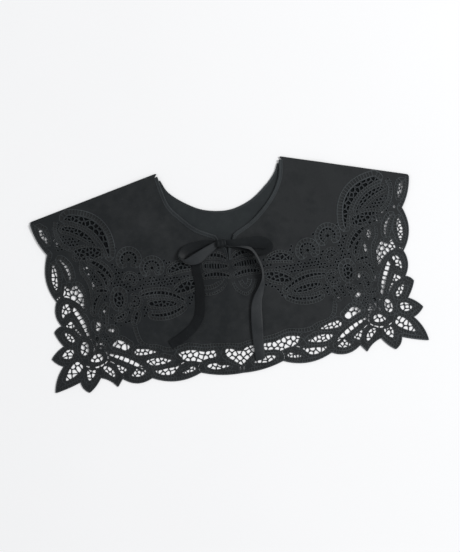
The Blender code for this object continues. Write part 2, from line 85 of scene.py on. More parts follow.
class Slot(Enum):
    """The record's material slots."""

    COTTON = "cotton"
    UNDER = "under_cotton"
    BINDING = "binding"
    RIBBON = "ribbon"


@dataclass(frozen=True)
class Corner:
    """A corner of an outline, and how far the edge that arrives there bulges outwards."""

    x: float
    y: float
    bulge: float


@dataclass(frozen=True)
class Ladder:
    """An opening filled with thread bars: its ends, its bow to the left, its widths, lanes and holes."""

    x0: float
    y0: float
    x1: float
    y1: float
    bow: float
    start: float
    middle: float
    end: float
    lanes: int
    holes: int
    band: float = 6.5

    def place(self, t: np.ndarray, across: np.ndarray) -> np.ndarray:
        """Points at a share of the length and of the width.

        Args:
            t: Shares of the length, 0 to 1.
            across: Shares of the width, -0.5 to 0.5.

        Returns:
            The points, one row each.
        """
        start = np.array([self.x0, self.y0])
        chord = np.array([self.x1, self.y1]) - start
        left = np.array([-chord[1], chord[0]]) / np.hypot(*chord)
        width = self.start * (1 - t) * (1 - 2 * t) + 4 * self.middle * t * (1 - t) + self.end * t * (2 * t - 1)
        return start + t[:, None] * chord + (4 * self.bow * t * (1 - t) + width * across)[:, None] * left


@dataclass(frozen=True)
class Curl:
    """A round motif: a ring of holes on an arc round a small eye."""

    x: float
    y: float
    radius: float
    start: float
    sweep: float
    width: float
    holes: int
    eye: float
    band: float = 7.0
    squash: float = 1.0
    turn: float = 0.0

    def place(self, t: np.ndarray, across: np.ndarray) -> np.ndarray:
        """Points at a share of the arc and of its width."""
        angle = np.radians(self.start + self.sweep * t)
        reach = self.radius - across * self.width * np.minimum(1, 3.2 * np.sqrt(np.maximum(t * (1 - t), 0)))
        return self.oval(angle, reach)

    def oval(self, angle: np.ndarray, reach: np.ndarray) -> np.ndarray:
        """Points round the motif's middle, squashed and turned."""
        x, y = reach * np.cos(angle) * self.squash, reach * np.sin(angle)
        turn = math.radians(self.turn)
        return np.column_stack([
            self.x + x * math.cos(turn) - y * math.sin(turn),
            self.y + x * math.sin(turn) + y * math.cos(turn),
        ])


@dataclass(frozen=True)
class Net:
    """An opening of any round shape filled with an uneven net: its corners, its holes and its band."""

    corners: tuple[tuple[float, float], ...]
    holes: int
    band: float = 6.5


Opening = Ladder | Curl | Net


FRONT_EDGE = (
    Corner(0.0, -133.5, 0.0),
    Corner(57.0, -125.0, 3.0),
    Corner(124.5, -123.0, 8.0),
    Corner(165.0, -118.0, 7.0),
    Corner(173.0, -128.5, 0.0),
    Corner(195.0, -113.0, -2.5),
    Corner(212.5, -131.0, 1.5),
    Corner(222.5, -115.0, 2.5),
    Corner(258.5, -125.0, 0.8),
    Corner(242.0, -91.0, 3.0),
    Corner(257.0, -79.0, 1.5),
    Corner(238.0, -64.0, 1.5),
    Corner(249.5, -42.0, 1.0),
    Corner(238.5, -34.0, 1.5),
    Corner(241.0, 1.0, 5.0),
    Corner(247.0, 60.0, 8.5),
    Corner(262.5, 102.0, 3.0),
)

BACK_EDGE = (
    Corner(0.0, -64.0, 0.0),
    Corner(58.0, -60.0, 4.0),
    Corner(112.0, -59.0, 5.0),
    Corner(156.0, -54.0, 4.0),
    Corner(163.0, -46.0, 1.0),
    Corner(181.0, -73.0, 1.5),
    Corner(184.5, -59.0, 1.5),
    Corner(199.0, -66.0, 1.0),
    Corner(192.5, -51.0, 1.5),
    Corner(205.0, -45.0, 1.0),
    Corner(194.0, -34.0, 1.5),
    Corner(199.0, 2.0, 3.5),
    Corner(216.0, 40.0, 4.5),
    Corner(236.0, 68.0, 4.0),
    Corner(249.0, 99.0, 2.0),
)

# How the left half departs from a mirror image: height, how much wider, how much higher
LEFT_SHIFTS = ((-60.0, 0.0, 0.0), (-34.0, -1.5, -2.0), (1.0, -1.5, -3.0), (60.0, -4.0, 4.0), (102.0, -2.0, 6.5))
CHAIN_AXIS = 3.5
CHAIN_RISE = 6.0
CHAIN_REACH = 80.0

NECK_BINDING = 5.5
SLIT_BINDING = 3.0
BACK_BINDING = 3.0
BACK_DEPTH = 7.65  # how far in from the shoulder's face the back panel ends, beneath the fold
HIDDEN_EDGE = 1.2  # how far a panel's edge reaches into its binding

RIGHT_SHOULDER = ((91.0, 153.8), (263.0, 104.2))
LEFT_SHOULDER = ((-80.0, 154.0), (-261.0, 112.0))

RIGHT_NECK = ((89.5, 149.0), (84.5, 123.0), (69.0, 98.0), (43.0, 73.5), (13.5, 57.0))
RIGHT_SLIT = ((13.5, 57.0), (9.8, 48.0), (3.8, 38.0), (2.3, 22.0))
LEFT_NECK = ((-79.0, 149.0), (-70.0, 110.6), (-55.0, 90.0), (-36.0, 71.0), (-10.6, 57.5))
LEFT_SLIT = ((-10.6, 57.5), (-6.6, 48.0), (0.4, 38.0), (1.7, 22.0))
BACK_NECK = (
    (86.5, 144.5), (80.5, 132.0), (67.5, 118.0), (42.6, 99.6), (11.6, 90.4),
    (-22.0, 95.0), (-48.0, 109.0), (-67.5, 126.0), (-76.0, 143.5),
)

BORDER = (
    # The five petals of the corner flower, from the side round to the hem
    Net(((221.5, -56.0), (225.0, -51.5), (229.0, -46.0), (237.0, -43.5), (236.0, -49.0), (233.5, -54.5),
         (229.5, -59.5), (224.0, -61.5)), 6),
    Net(((226.0, -70.5), (229.0, -68.5), (236.0, -69.0), (240.5, -73.0), (245.0, -77.5), (240.5, -81.0),
         (234.0, -83.0), (228.0, -80.0), (225.5, -75.0)), 6),
    Net(((215.0, -95.0), (219.0, -89.5), (222.5, -86.0), (227.5, -88.0), (232.5, -92.0), (237.5, -97.5),
         (241.0, -104.0), (244.5, -112.0), (238.0, -111.0), (232.0, -108.5), (226.0, -105.0), (219.5, -101.0)), 9),
    Net(((199.5, -100.0), (205.0, -98.5), (210.5, -98.5), (213.5, -104.0), (213.5, -110.5), (211.5, -117.0),
         (206.5, -114.0), (201.5, -109.5), (199.5, -105.0)), 6),
    Net(((173.5, -114.5), (174.5, -107.0), (178.0, -102.0), (183.0, -98.0), (190.0, -98.0), (190.0, -104.0),
         (184.5, -108.5), (181.5, -112.5), (177.0, -116.0)), 6),
    # Its heart, two lobes, and the slits sewn round them
    Net(((205.0, -63.5), (209.0, -60.0), (213.5, -62.0), (216.0, -66.5), (217.5, -72.0), (216.5, -79.0),
         (211.0, -81.5), (205.5, -77.5), (204.0, -70.0)), 6),
    Net(((186.5, -83.0), (191.5, -79.5), (199.0, -80.0), (202.5, -84.5), (207.0, -88.5), (203.0, -91.5),
         (195.0, -92.5), (188.0, -91.0)), 5),
    Ladder(201.5, -58.0, 199.0, -77.0, -3.0, 3.0, 3.4, 3.0, 1, 3, 3.2),
    Ladder(182.5, -78.5, 181.0, -90.0, -1.0, 3.0, 3.2, 3.0, 1, 2, 3.2),
    Ladder(181.5, -91.5, 213.0, -94.5, -5.5, 3.0, 3.4, 3.0, 1, 5, 3.2),
    # The tall ladder beside the side edge, and the nets at its top
    Ladder(203.5, -54.5, 221.0, -10.5, 1.8, 4.2, 7.2, 6.6, 1, 7),
    Net(((220.5, -9.5), (223.5, -5.0), (230.0, -2.5), (234.5, -5.5), (237.0, -13.0), (238.0, -21.0),
         (235.5, -25.0), (232.5, -19.5), (228.5, -18.5), (223.5, -16.0)), 8),
    Ladder(213.5, -52.5, 222.0, -39.5, 0.5, 2.6, 3.6, 3.8, 1, 3, 4.0),
    Net(((219.5, -39.0), (222.5, -33.0), (225.5, -27.0), (229.0, -30.5), (233.5, -33.0), (234.5, -36.5),
         (229.0, -38.5), (223.5, -40.5)), 4, 4.0),
    # The long ladder above the hem, and the nets at its end
    Ladder(179.5, -83.0, 134.0, -109.5, -2.0, 3.2, 6.8, 4.5, 1, 7),
    Net(((134.0, -108.5), (140.0, -106.5), (145.5, -107.5), (148.0, -112.0), (155.0, -117.0), (143.0, -120.5),
         (135.0, -118.0), (130.0, -113.5)), 8),
    Ladder(179.0, -92.5, 172.0, -97.5, 0.0, 2.0, 2.4, 2.4, 1, 1, 4.0),
    Net(((155.5, -108.0), (160.5, -103.5), (166.0, -100.0), (171.5, -97.5), (170.5, -103.0), (168.5, -107.5),
         (165.5, -113.0), (161.0, -110.5)), 5, 4.5),
    Ladder(164.2, -115.0, 164.2, -118.5, 0.0, 2.0, 2.2, 2.0, 1, 1, 3.0),
    # The open nets that lie towards the cloth
    Net(((147.5, -75.5), (152.0, -72.5), (156.0, -68.0), (160.5, -65.5), (164.0, -64.0), (167.5, -66.5),
         (171.5, -69.0), (174.0, -73.5), (166.5, -76.0), (160.5, -79.5), (155.0, -82.5), (150.0, -80.5)), 5),
    Net(((203.5, -14.0), (203.5, 2.0), (204.0, 9.0), (208.0, 14.5), (212.0, 18.5), (218.0, 18.0),
         (220.0, 12.5), (225.0, 17.5), (228.5, 21.0), (230.5, 13.0), (233.5, 5.5), (224.0, 3.5),
         (218.0, -1.0), (213.5, -4.5), (209.5, -9.0), (207.5, -14.0)), 17),
    Net(((166.0, -50.5), (169.5, -46.5), (175.0, -46.5), (177.0, -51.0), (172.5, -53.0), (171.5, -59.0),
         (167.5, -60.0), (166.0, -55.0)), 3, 5.0),
    Ladder(191.5, -56.5, 195.0, -71.0, 0.0, 6.4, 5.0, 3.4, 1, 2, 3.6),
    # The side scallops and the crescents inside them
    Net(((241.5, 49.0), (237.5, 43.0), (236.5, 36.0), (237.0, 26.0), (237.0, 18.0), (240.5, 13.5),
         (244.0, 20.0), (246.0, 28.0), (245.0, 36.0), (244.0, 42.0)), 11),
    Net(((244.5, 72.0), (243.0, 80.0), (244.0, 90.5), (250.0, 94.0), (254.5, 98.5), (253.5, 88.0),
         (251.0, 81.0), (247.0, 75.5)), 7),
    Ladder(232.5, 52.5, 219.5, 25.5, -3.5, 2.0, 4.6, 3.2, 1, 6),
    Ladder(236.0, 6.5, 242.0, 3.0, 0.0, 2.2, 2.8, 2.2, 1, 2, 4.0),
    # The nets above the hem's scallops
    Net(((111.0, -89.5), (119.5, -85.5), (127.0, -82.5), (134.0, -82.0), (140.0, -80.0), (145.5, -85.5),
         (142.5, -90.5), (132.0, -91.5), (121.0, -91.5)), 9),
    Net(((91.5, -103.0), (100.0, -101.0), (106.0, -97.5), (114.0, -97.0), (124.0, -97.0), (131.5, -99.5),
         (127.5, -104.0), (122.0, -107.5), (112.0, -108.0), (102.5, -107.0)), 10),
    Net(((83.0, -111.0), (90.0, -112.5), (95.0, -113.0), (106.0, -113.0), (112.0, -114.5), (120.5, -113.5),
         (118.5, -118.0), (112.0, -121.5), (104.0, -123.5), (96.0, -123.5), (90.5, -119.0)), 8),
    Net(((32.5, -97.5), (38.0, -97.5), (48.0, -98.0), (54.0, -96.0), (60.0, -94.0), (66.0, -92.5),
         (72.0, -92.5), (80.0, -93.5), (86.5, -96.0), (82.5, -99.5), (80.5, -105.5), (74.0, -108.5),
         (66.0, -108.5), (60.0, -111.0), (54.0, -112.5), (50.0, -109.0), (40.0, -108.5), (32.5, -108.5)), 17),
    Ladder(76.0, -107.5, 83.0, -110.5, 0.0, 2.0, 2.4, 2.6, 1, 1, 3.5),
    Net(((14.0, -122.5), (22.0, -119.5), (30.0, -120.0), (33.0, -115.5), (38.0, -115.0), (46.0, -115.5),
         (49.5, -119.0), (44.0, -122.5), (36.0, -125.5), (24.0, -124.5)), 7),
    Net(((62.5, -118.0), (67.0, -115.0), (71.5, -116.0), (73.5, -120.0), (79.0, -119.5), (85.0, -123.0),
         (78.0, -125.0), (70.0, -123.5), (64.0, -122.0)), 6),
    Ladder(57.0, -112.5, 57.5, -125.0, 2.2, 2.0, 2.2, 2.0, 1, 2, 3.0),
)

# What lies on the hem's centre line, and what only one half has
CENTRE_LACE = (
    Net(((0.0, -104.0), (5.0, -102.0), (11.0, -98.5), (20.5, -97.5), (21.0, -106.0), (17.5, -111.0),
         (9.0, -117.5), (4.0, -121.5), (0.0, -124.5), (-4.0, -121.5), (-9.0, -117.5), (-17.5, -111.0),
         (-21.0, -106.0), (-20.5, -97.5), (-11.0, -98.5), (-5.0, -102.0)), 17),
    Ladder(2.6, -124.5, 1.6, -131.0, 0.0, 1.8, 2.2, 1.8, 1, 1, 2.5),
    Ladder(-2.6, -124.5, -3.2, -131.0, 0.0, 1.8, 2.2, 1.8, 1, 1, 2.5),
)
RIGHT_LACE = (
    Net(((193.0, 29.5), (194.5, 33.5), (197.0, 37.5), (200.0, 36.5), (201.5, 32.0), (200.5, 28.5), (199.0, 24.5),
         (196.0, 24.5), (194.5, 28.0)), 4, 3.0),
    Ladder(189.6, 18.0, 191.0, 6.5, 0.0, 3.6, 4.6, 4.4, 1, 2, 3.0),
    Ladder(188.6, -33.5, 187.4, -40.5, 0.0, 5.0, 6.4, 5.0, 1, 1, 3.6),
    Ladder(184.5, -48.6, 197.0, -49.2, 0.0, 3.8, 4.4, 4.0, 1, 2, 3.0),
    Ladder(177.2, -21.0, 176.0, -28.0, 0.0, 4.0, 4.8, 4.0, 1, 1, 3.2),
)
LEFT_LACE = (
    Net(((184.5, -36.0), (194.0, -33.5), (194.0, -42.0), (192.0, -50.0), (187.0, -48.5), (184.5, -42.0)), 3, 5.0),
    Ladder(181.0, -70.0, 190.0, -66.5, 0.0, 3.5, 4.0, 3.5, 1, 2, 4.0),
)

# The sewn line between the plain cloth and the hem's lace, which lies on its right
HEM_LINE = (
    (0.0, -93.5), (10.0, -91.5), (30.0, -89.0), (45.0, -88.0), (55.0, -86.0), (70.0, -82.5), (85.0, -85.0),
    (100.0, -84.0), (110.0, -79.5), (124.0, -76.5), (131.0, -70.0), (134.5, -58.0), (136.0, -49.0),
)

# Bands that sweep past the chain's motifs, each with its tape on the right
SWEEPS = (
    ((198.0, 51.5), (205.5, 47.0), (210.0, 37.0), (209.5, 26.0), (205.0, 17.5), (201.3, 8.0), (200.4, -5.0),
     (200.2, -15.0), (198.0, -28.0)),
    ((236.0, 102.0), (238.5, 90.0), (236.0, 76.0), (229.0, 64.0), (217.0, 56.5)),
)

# The rims of the two petals below the slit, one within the other, as they lie on each side
PETAL_RIMS = (
    ((37.0, -9.0), (34.0, -18.0), (27.5, -26.0), (19.0, -29.5), (10.5, -25.5), (4.5, -18.5), (1.5, -9.5)),
    ((30.0, -8.0), (27.0, -15.5), (20.5, -20.0), (14.0, -16.5), (10.5, -8.0)),
    ((-3.5, -8.5), (-9.0, -15.0), (-16.0, -20.0), (-25.0, -22.5), (-37.0, -22.0)),
    ((-7.0, -3.5), (-13.0, -9.0), (-20.0, -13.0), (-29.0, -15.0), (-37.0, -14.5)),
)

# The ground of fine holes between the flower chain's motifs
GROUND = (
    (46.0, 18.0), (60.0, 22.0), (80.0, 20.0), (90.0, 30.0), (100.0, 35.0), (112.0, 38.0),
    (121.0, 41.0), (132.0, 50.0), (145.0, 53.0), (156.0, 52.0), (160.0, 70.0), (170.0, 89.0), (180.0, 98.0),
    (195.0, 104.0), (215.0, 108.0), (236.0, 102.0), (240.0, 96.0), (238.0, 60.0), (222.0, 58.0), (212.0, 44.0), (208.0, 26.0),
    (202.0, 12.0), (200.0, -16.0), (196.0, -40.0), (190.0, -52.0), (176.0, -57.0), (160.0, -51.0), (136.0, -46.0),
    (118.0, -45.0), (105.0, -47.0), (90.0, -47.0), (75.0, -43.0), (66.0, -36.0), (58.0, -26.0), (47.0, -20.0),
)

# The finer mesh beside the corner flower's heart
FINE_GROUND = (
    (170.0, -60.0), (178.0, -56.0), (184.0, -54.0), (202.0, -54.5), (199.0, -60.0), (199.0, -68.0), (196.0, -76.0),
    (186.0, -79.0), (179.0, -80.0), (176.0, -72.0),
)

CHAIN = (
    # The great leaf on the shoulder: its holes, its inner leaf and its net
    Ladder(167.0, 43.0, 219.0, 105.0, 17.0, 3.0, 12.0, 9.5, 2, 11, 8.5),
    Ladder(184.0, 61.0, 226.0, 91.0, 6.0, 3.0, 8.5, 6.0, 2, 8, 4.2),
    Ladder(177.0, 51.0, 214.0, 53.0, 0.0, 10.0, 18.0, 12.0, 3, 7, 3.6),
    # The leaf below it, and the small ones at its foot
    Ladder(168.0, 14.0, 198.0, 43.0, 4.0, 3.0, 6.6, 3.5, 1, 7, 4.4),
    Ladder(186.0, 27.0, 176.0, 5.0, -3.0, 3.0, 4.8, 3.0, 1, 4, 3.6),
    Ladder(176.0, -3.0, 192.0, -1.0, 1.0, 3.0, 5.0, 3.0, 1, 3, 3.4),
    # The two curls, and the round one between them and the flower
    Curl(141.0, 36.0, 9.6, -40.0, 280.0, 4.2, 10, 2.4, 6.5),
    Curl(111.0, 20.0, 9.2, -40.0, 270.0, 4.2, 10, 2.4, 6.0),
    Curl(143.0, 8.5, 6.4, 0.0, 250.0, 3.4, 7, 1.8, 3.6),
    # The flower: its oval heart, a loop beside it, and the leaves that hang from it
    Net(((162.0, -5.0), (167.0, -7.5), (169.0, -13.5), (169.0, -20.0), (166.5, -26.0), (162.0, -28.5),
         (157.5, -26.0), (155.0, -20.0), (155.0, -13.5), (157.0, -7.5)), 9, 7.4),
    Curl(141.0, -22.0, 6.6, 60.0, 280.0, 3.4, 8, 1.8, 3.8),
    Ladder(139.0, -37.0, 145.0, -52.0, 0.0, 3.0, 5.0, 2.5, 1, 3, 4.0),
    Ladder(157.0, -37.0, 169.0, -42.0, -1.0, 3.0, 5.0, 2.5, 1, 3, 4.0),
    Ladder(180.0, -22.0, 186.0, -48.0, 3.0, 3.0, 5.5, 3.0, 1, 5, 4.6),
    Ladder(186.0, -6.0, 198.0, -32.0, 4.0, 2.5, 4.5, 3.0, 1, 5, 4.0),
    # The great leaf towards the middle
    Ladder(131.0, -15.5, 73.0, -30.0, -7.0, 3.4, 5.4, 3.4, 1, 11, 5.0),
    Ladder(121.0, -43.5, 75.0, -38.0, 5.0, 3.4, 5.4, 3.4, 1, 9, 5.0),
    Ladder(122.0, -28.0, 84.0, -33.0, 0.0, 4.5, 10.0, 4.5, 2, 6, 3.0),
    # The leaves at the centre
    Ladder(55.0, 15.0, 89.0, 11.0, 4.0, 4.0, 11.0, 5.0, 2, 6, 3.6),
    Ladder(50.0, -5.0, 84.0, -17.0, 0.0, 7.0, 13.5, 5.0, 2, 6, 3.6),
    Ladder(8.0, 24.0, 34.0, 29.0, 3.5, 3.0, 6.0, 3.5, 1, 6, 3.0),
    Ladder(8.0, 14.0, 40.0, 15.5, 0.0, 4.0, 9.0, 6.0, 1, 9, 2.6),
    Ladder(7.0, 0.0, 42.0, 1.5, 3.0, 3.4, 6.4, 4.0, 1, 8, 2.8),
)

BACK_LACE = (
    Ladder(240.5, 89.0, 231.5, 68.0, -1.0, 4.0, 6.5, 4.0, 1, 3),
    Ladder(223.0, 60.0, 207.0, 36.0, -1.0, 4.0, 7.0, 4.5, 1, 4),
    Ladder(198.0, 40.0, 197.0, 21.5, 0.0, 8.0, 10.5, 8.0, 1, 1, 3.0),
    Ladder(189.5, 19.5, 191.0, 4.5, 0.0, 6.0, 7.0, 6.0, 1, 1, 3.0),
    Ladder(177.5, -18.5, 175.5, -30.5, 0.0, 6.0, 7.5, 6.0, 1, 1, 3.5),
    Ladder(171.0, -43.0, 171.5, -54.5, 0.0, 8.0, 10.0, 6.0, 1, 1, 3.0),
    Ladder(187.5, -31.0, 188.5, -53.0, 0.0, 7.0, 10.0, 9.0, 1, 1, 3.5),
    Ladder(146.0, -51.0, 118.0, -54.0, 0.0, 4.5, 6.5, 5.0, 1, 4),
    Ladder(104.0, -55.0, 66.0, -56.0, 0.0, 4.5, 6.5, 4.5, 1, 5),
    Ladder(50.0, -56.5, 10.0, -58.0, 0.0, 4.5, 6.5, 4.5, 1, 5),
)

# The ribbon's sections: each edge's x, y and height above the cloth
LEFT_LOOP = (
    (-9.0, 51.0, 5.0, -9.0, 43.5, 2.6),
    (-33.0, 54.0, 3.4, -32.0, 42.0, 1.0),
    (-55.0, 50.0, 2.6, -48.0, 37.5, 0.35),
    (-64.0, 42.0, 3.6, -56.0, 32.0, 0.8),
    (-65.0, 34.5, 6.4, -57.5, 26.0, 3.0),
    (-57.5, 31.0, 9.4, -50.0, 22.5, 7.0),
    (-46.0, 35.4, 9.6, -38.0, 23.0, 7.4),
    (-30.0, 42.6, 8.4, -25.0, 31.0, 6.0),
    (-9.5, 50.5, 6.0, -9.5, 42.0, 4.2),
)
RIGHT_LOOP = (
    (-0.5, 49.5, 6.5, -0.5, 43.6, 3.8),
    (18.0, 49.0, 6.8, 17.0, 37.6, 4.6),
    (34.0, 49.3, 6.8, 30.0, 34.0, 3.6),
    (50.0, 48.5, 6.5, 42.5, 32.4, 2.7),
    (61.0, 42.0, 6.0, 49.5, 31.2, 2.4),
    (65.3, 33.0, 5.2, 52.5, 30.2, 2.0),
    (61.0, 25.2, 4.2, 50.0, 29.8, 1.2),
    (50.0, 22.2, 3.2, 42.0, 30.6, 0.4),
    (36.0, 25.5, 2.0, 31.0, 34.4, 0.35),
    (20.0, 33.5, 1.4, 18.0, 39.4, 0.35),
    (-0.5, 41.4, 0.8, -0.5, 45.0, 0.35),
)
RIGHT_TAIL = (
    (-0.5, 41.2, 2.6, -0.5, 44.8, 1.6),
    (13.4, 38.6, 4.6, 14.0, 42.6, 2.2),
    (24.0, 35.2, 8.6, 26.0, 39.0, 3.0),
    (33.6, 30.4, 13.0, 36.0, 33.2, 4.2),
    (40.4, 18.8, 13.6, 43.0, 20.0, 4.0),
    (44.0, 4.6, 11.5, 47.0, 5.0, 1.6),
    (43.6, -8.0, 9.6, 46.8, -8.0, 0.4),
    (37.6, -20.0, 6.4, 45.6, -19.6, 0.35),
    (30.0, -31.0, 3.8, 42.6, -30.0, 0.35),
    (24.5, -43.0, 2.8, 38.6, -42.0, 0.35),
    (21.5, -60.0, 2.4, 36.8, -60.0, 0.35),
    (20.0, -80.0, 2.2, 35.2, -80.0, 0.35),
    (19.4, -100.0, 1.8, 33.4, -100.0, 0.35),
    (20.0, -119.0, 0.8, 32.5, -119.0, 0.35),
)
LEFT_TAIL = (
    (-9.6, 39.4, 1.2, -10.4, 43.6, 0.35),
    (-22.0, 32.4, 2.2, -26.0, 38.6, 0.35),
    (-32.0, 26.6, 3.4, -40.0, 33.4, 0.35),
    (-38.0, 18.0, 4.6, -49.0, 23.0, 0.35),
    (-36.8, 4.0, 5.8, -49.2, 6.0, 0.35),
    (-36.2, -10.0, 6.4, -48.8, -9.6, 0.35),
    (-37.8, -27.0, 6.6, -50.4, -25.6, 0.35),
    (-39.6, -42.0, 6.2, -52.4, -38.6, 0.35),
    (-44.0, -54.0, 5.4, -55.6, -47.4, 0.35),
    (-52.4, -65.0, 4.4, -61.6, -56.2, 0.35),
    (-63.0, -73.6, 3.0, -70.4, -62.8, 0.35),
    (-76.0, -81.4, 1.8, -81.4, -69.8, 0.35),
    (-91.0, -88.0, 0.35, -95.2, -76.0, 0.35),
)


def arc_points(start: np.ndarray, end: np.ndarray, bulge: float, step: float) -> np.ndarray:
    """Points from start to just before end, on an arc that stands bulge to the right of its chord."""
    chord = end - start
    length = float(np.hypot(*chord))
    count = max(2, math.ceil(length / step))
    out = np.array([chord[1], -chord[0]]) / length
    along = np.arange(count) / count
    return start + along[:, None] * chord + (4 * bulge * along * (1 - along))[:, None] * out


def edge_points(corners: Sequence[Corner], step: float = 1.6) -> np.ndarray:
    """The points of an outer edge, from the hem's centre to the shoulder."""
    places = [np.array([corner.x, corner.y]) for corner in corners]
    runs = [arc_points(a, b, corner.bulge, step) for a, b, corner in zip(places, places[1:], corners[1:])]
    return np.vstack([*runs, places[-1][None]])


def smooth_curve(knots: Sequence[Sequence[float]], step: float = 2.5) -> np.ndarray:
    """Points on a smooth curve through the knots, about a step apart."""
    rows = np.array(knots, float)
    ends = np.vstack([2 * rows[0] - rows[1], rows, 2 * rows[-1] - rows[-2]])
    points = []
    for before, start, end, after in zip(ends, ends[1:], ends[2:], ends[3:]):
        count = max(2, round(float(np.linalg.norm(end - start)) / step))
        t = (np.arange(count) / count)[:, None]
        points.append(
            0.5 * (2 * start + (end - before) * t
                   + (2 * before - 5 * start + 4 * end - after) * t**2
                   + (3 * start - before - 3 * end + after) * t**3)
        )
    return np.vstack([*points, rows[-1:]])


def normals_of(path: np.ndarray, closed: bool) -> np.ndarray:
    """The unit normal to the left of a path at each of its points."""
    if closed:
        along = np.roll(path, -1, axis=0) - np.roll(path, 1, axis=0)
    else:
        along = np.gradient(path, axis=0)
    along = along / np.maximum(np.linalg.norm(along, axis=1), 1e-9)[:, None]
    return np.column_stack([-along[:, 1], along[:, 0]])


def inset(path: np.ndarray, widths: np.ndarray | float) -> np.ndarray:
    """An open path moved to its left by the widths, with mitred corners."""
    steps = np.diff(path, axis=0)
    steps = steps / np.linalg.norm(steps, axis=1)[:, None]
    before, after = np.vstack([steps[:1], steps]), np.vstack([steps, steps[-1:]])
    bisector = before + after
    bisector = bisector / np.linalg.norm(bisector, axis=1)[:, None]
    mitre = 1 / np.maximum(np.sum(bisector * after, axis=1), 0.5)
    left = np.column_stack([-bisector[:, 1], bisector[:, 0]])
    return path + left * (mitre * widths)[:, None]


def resample(ring: np.ndarray, step: float) -> np.ndarray:
    """A closed ring's points, evenly spaced."""
    shut = np.vstack([ring, ring[:1]])
    reach = np.concatenate([[0.0], np.cumsum(np.linalg.norm(np.diff(shut, axis=0), axis=1))])
    count = max(6, round(reach[-1] / step))
    spots = np.arange(count) / count * reach[-1]
    return np.column_stack([np.interp(spots, reach, shut[:, k]) for k in (0, 1)])


def rounded(ring: np.ndarray, turns: int) -> np.ndarray:
    """A closed ring with its corners cut again and again, until they are round."""
    for _ in range(turns):
        after = np.roll(ring, -1, axis=0)
        ring = np.stack([0.75 * ring + 0.25 * after, 0.25 * ring + 0.75 * after], axis=1).reshape(-1, 2)
    return ring


def area_of(ring: np.ndarray) -> float:
    """A ring's area, positive when it runs anticlockwise."""
    x, y = ring[:, 0], ring[:, 1]
    return 0.5 * float(np.sum(x * np.roll(y, -1) - np.roll(x, -1) * y))


def anticlockwise(ring: np.ndarray) -> np.ndarray:
    """The ring, turned round if it runs clockwise."""
    return ring if area_of(ring) > 0 else ring[::-1]


def inside(points: np.ndarray, ring: np.ndarray) -> np.ndarray:
    """Whether each point lies within a closed ring."""
    low, high = ring.min(axis=0), ring.max(axis=0)
    found = np.all((points >= low) & (points <= high), axis=1)
    near = points[found]
    x, y = near[:, 0, None], near[:, 1, None]
    x0, y0 = ring[:, 0], ring[:, 1]
    x1, y1 = np.roll(x0, -1), np.roll(y0, -1)
    rise = np.where(y1 == y0, 1.0, y1 - y0)
    crosses = ((y0 > y) != (y1 > y)) & (x < (x1 - x0) * (y - y0) / rise + x0)
    found[found] = crosses.sum(axis=1) % 2 == 1
    return found


def distance(points: np.ndarray, ring: np.ndarray) -> np.ndarray:
    """Each point's distance to a closed ring's nearest side."""
    side = np.roll(ring, -1, axis=0) - ring
    nearest = np.full(len(points), np.inf)
    for start, step in zip(ring, side):
        to_point = points - start
        along = np.clip(to_point @ step / max(step @ step, 1e-12), 0, 1)
        nearest = np.minimum(nearest, np.linalg.norm(to_point - along[:, None] * step, axis=1))
    return nearest


def left_border(points: np.ndarray) -> np.ndarray:
    """The border's left half, from its right."""
    height, wider, higher = np.array(LEFT_SHIFTS).T
    more = np.interp(points[:, 1], height, wider)
    rise = np.interp(points[:, 1], height, higher)
    return np.column_stack([-(points[:, 0] + more), points[:, 1] + rise])


def left_chain(points: np.ndarray) -> np.ndarray:
    """The flower chain's left half, which lies a little higher and nearer the middle."""
    share = np.clip(points[:, 0] / CHAIN_REACH, 0, 1)
    height = points[:, 1] + CHAIN_RISE * share * share * (3 - 2 * share)
    return np.column_stack([2 * CHAIN_AXIS - points[:, 0], height])


def carry_over(points: np.ndarray, half: Half, zone: Zone) -> np.ndarray:
    """The pattern's points on one half."""
    if half is Half.RIGHT:
        return points
    return left_border(points) if zone is Zone.BORDER else left_chain(points)


@dataclass(frozen=True)
class Motif:
    """One opening of the lace, laid out: its outline, its holes and the widest its band may be."""

    outline: np.ndarray
    cells: list[np.ndarray]
    band: float


def clipped(ring: np.ndarray, point: np.ndarray, normal: np.ndarray) -> np.ndarray:
    """The part of a ring on the far side of a line, where the normal points away from it."""
    side = (ring - point) @ normal
    kept = []
    for start, end, first, second in zip(ring, np.roll(ring, -1, axis=0), side, np.roll(side, -1)):
        if first <= 0:
            kept.append(start)
        if (first <= 0) != (second <= 0):
            kept.append(start + (end - start) * first / (first - second))
    return np.array(kept)


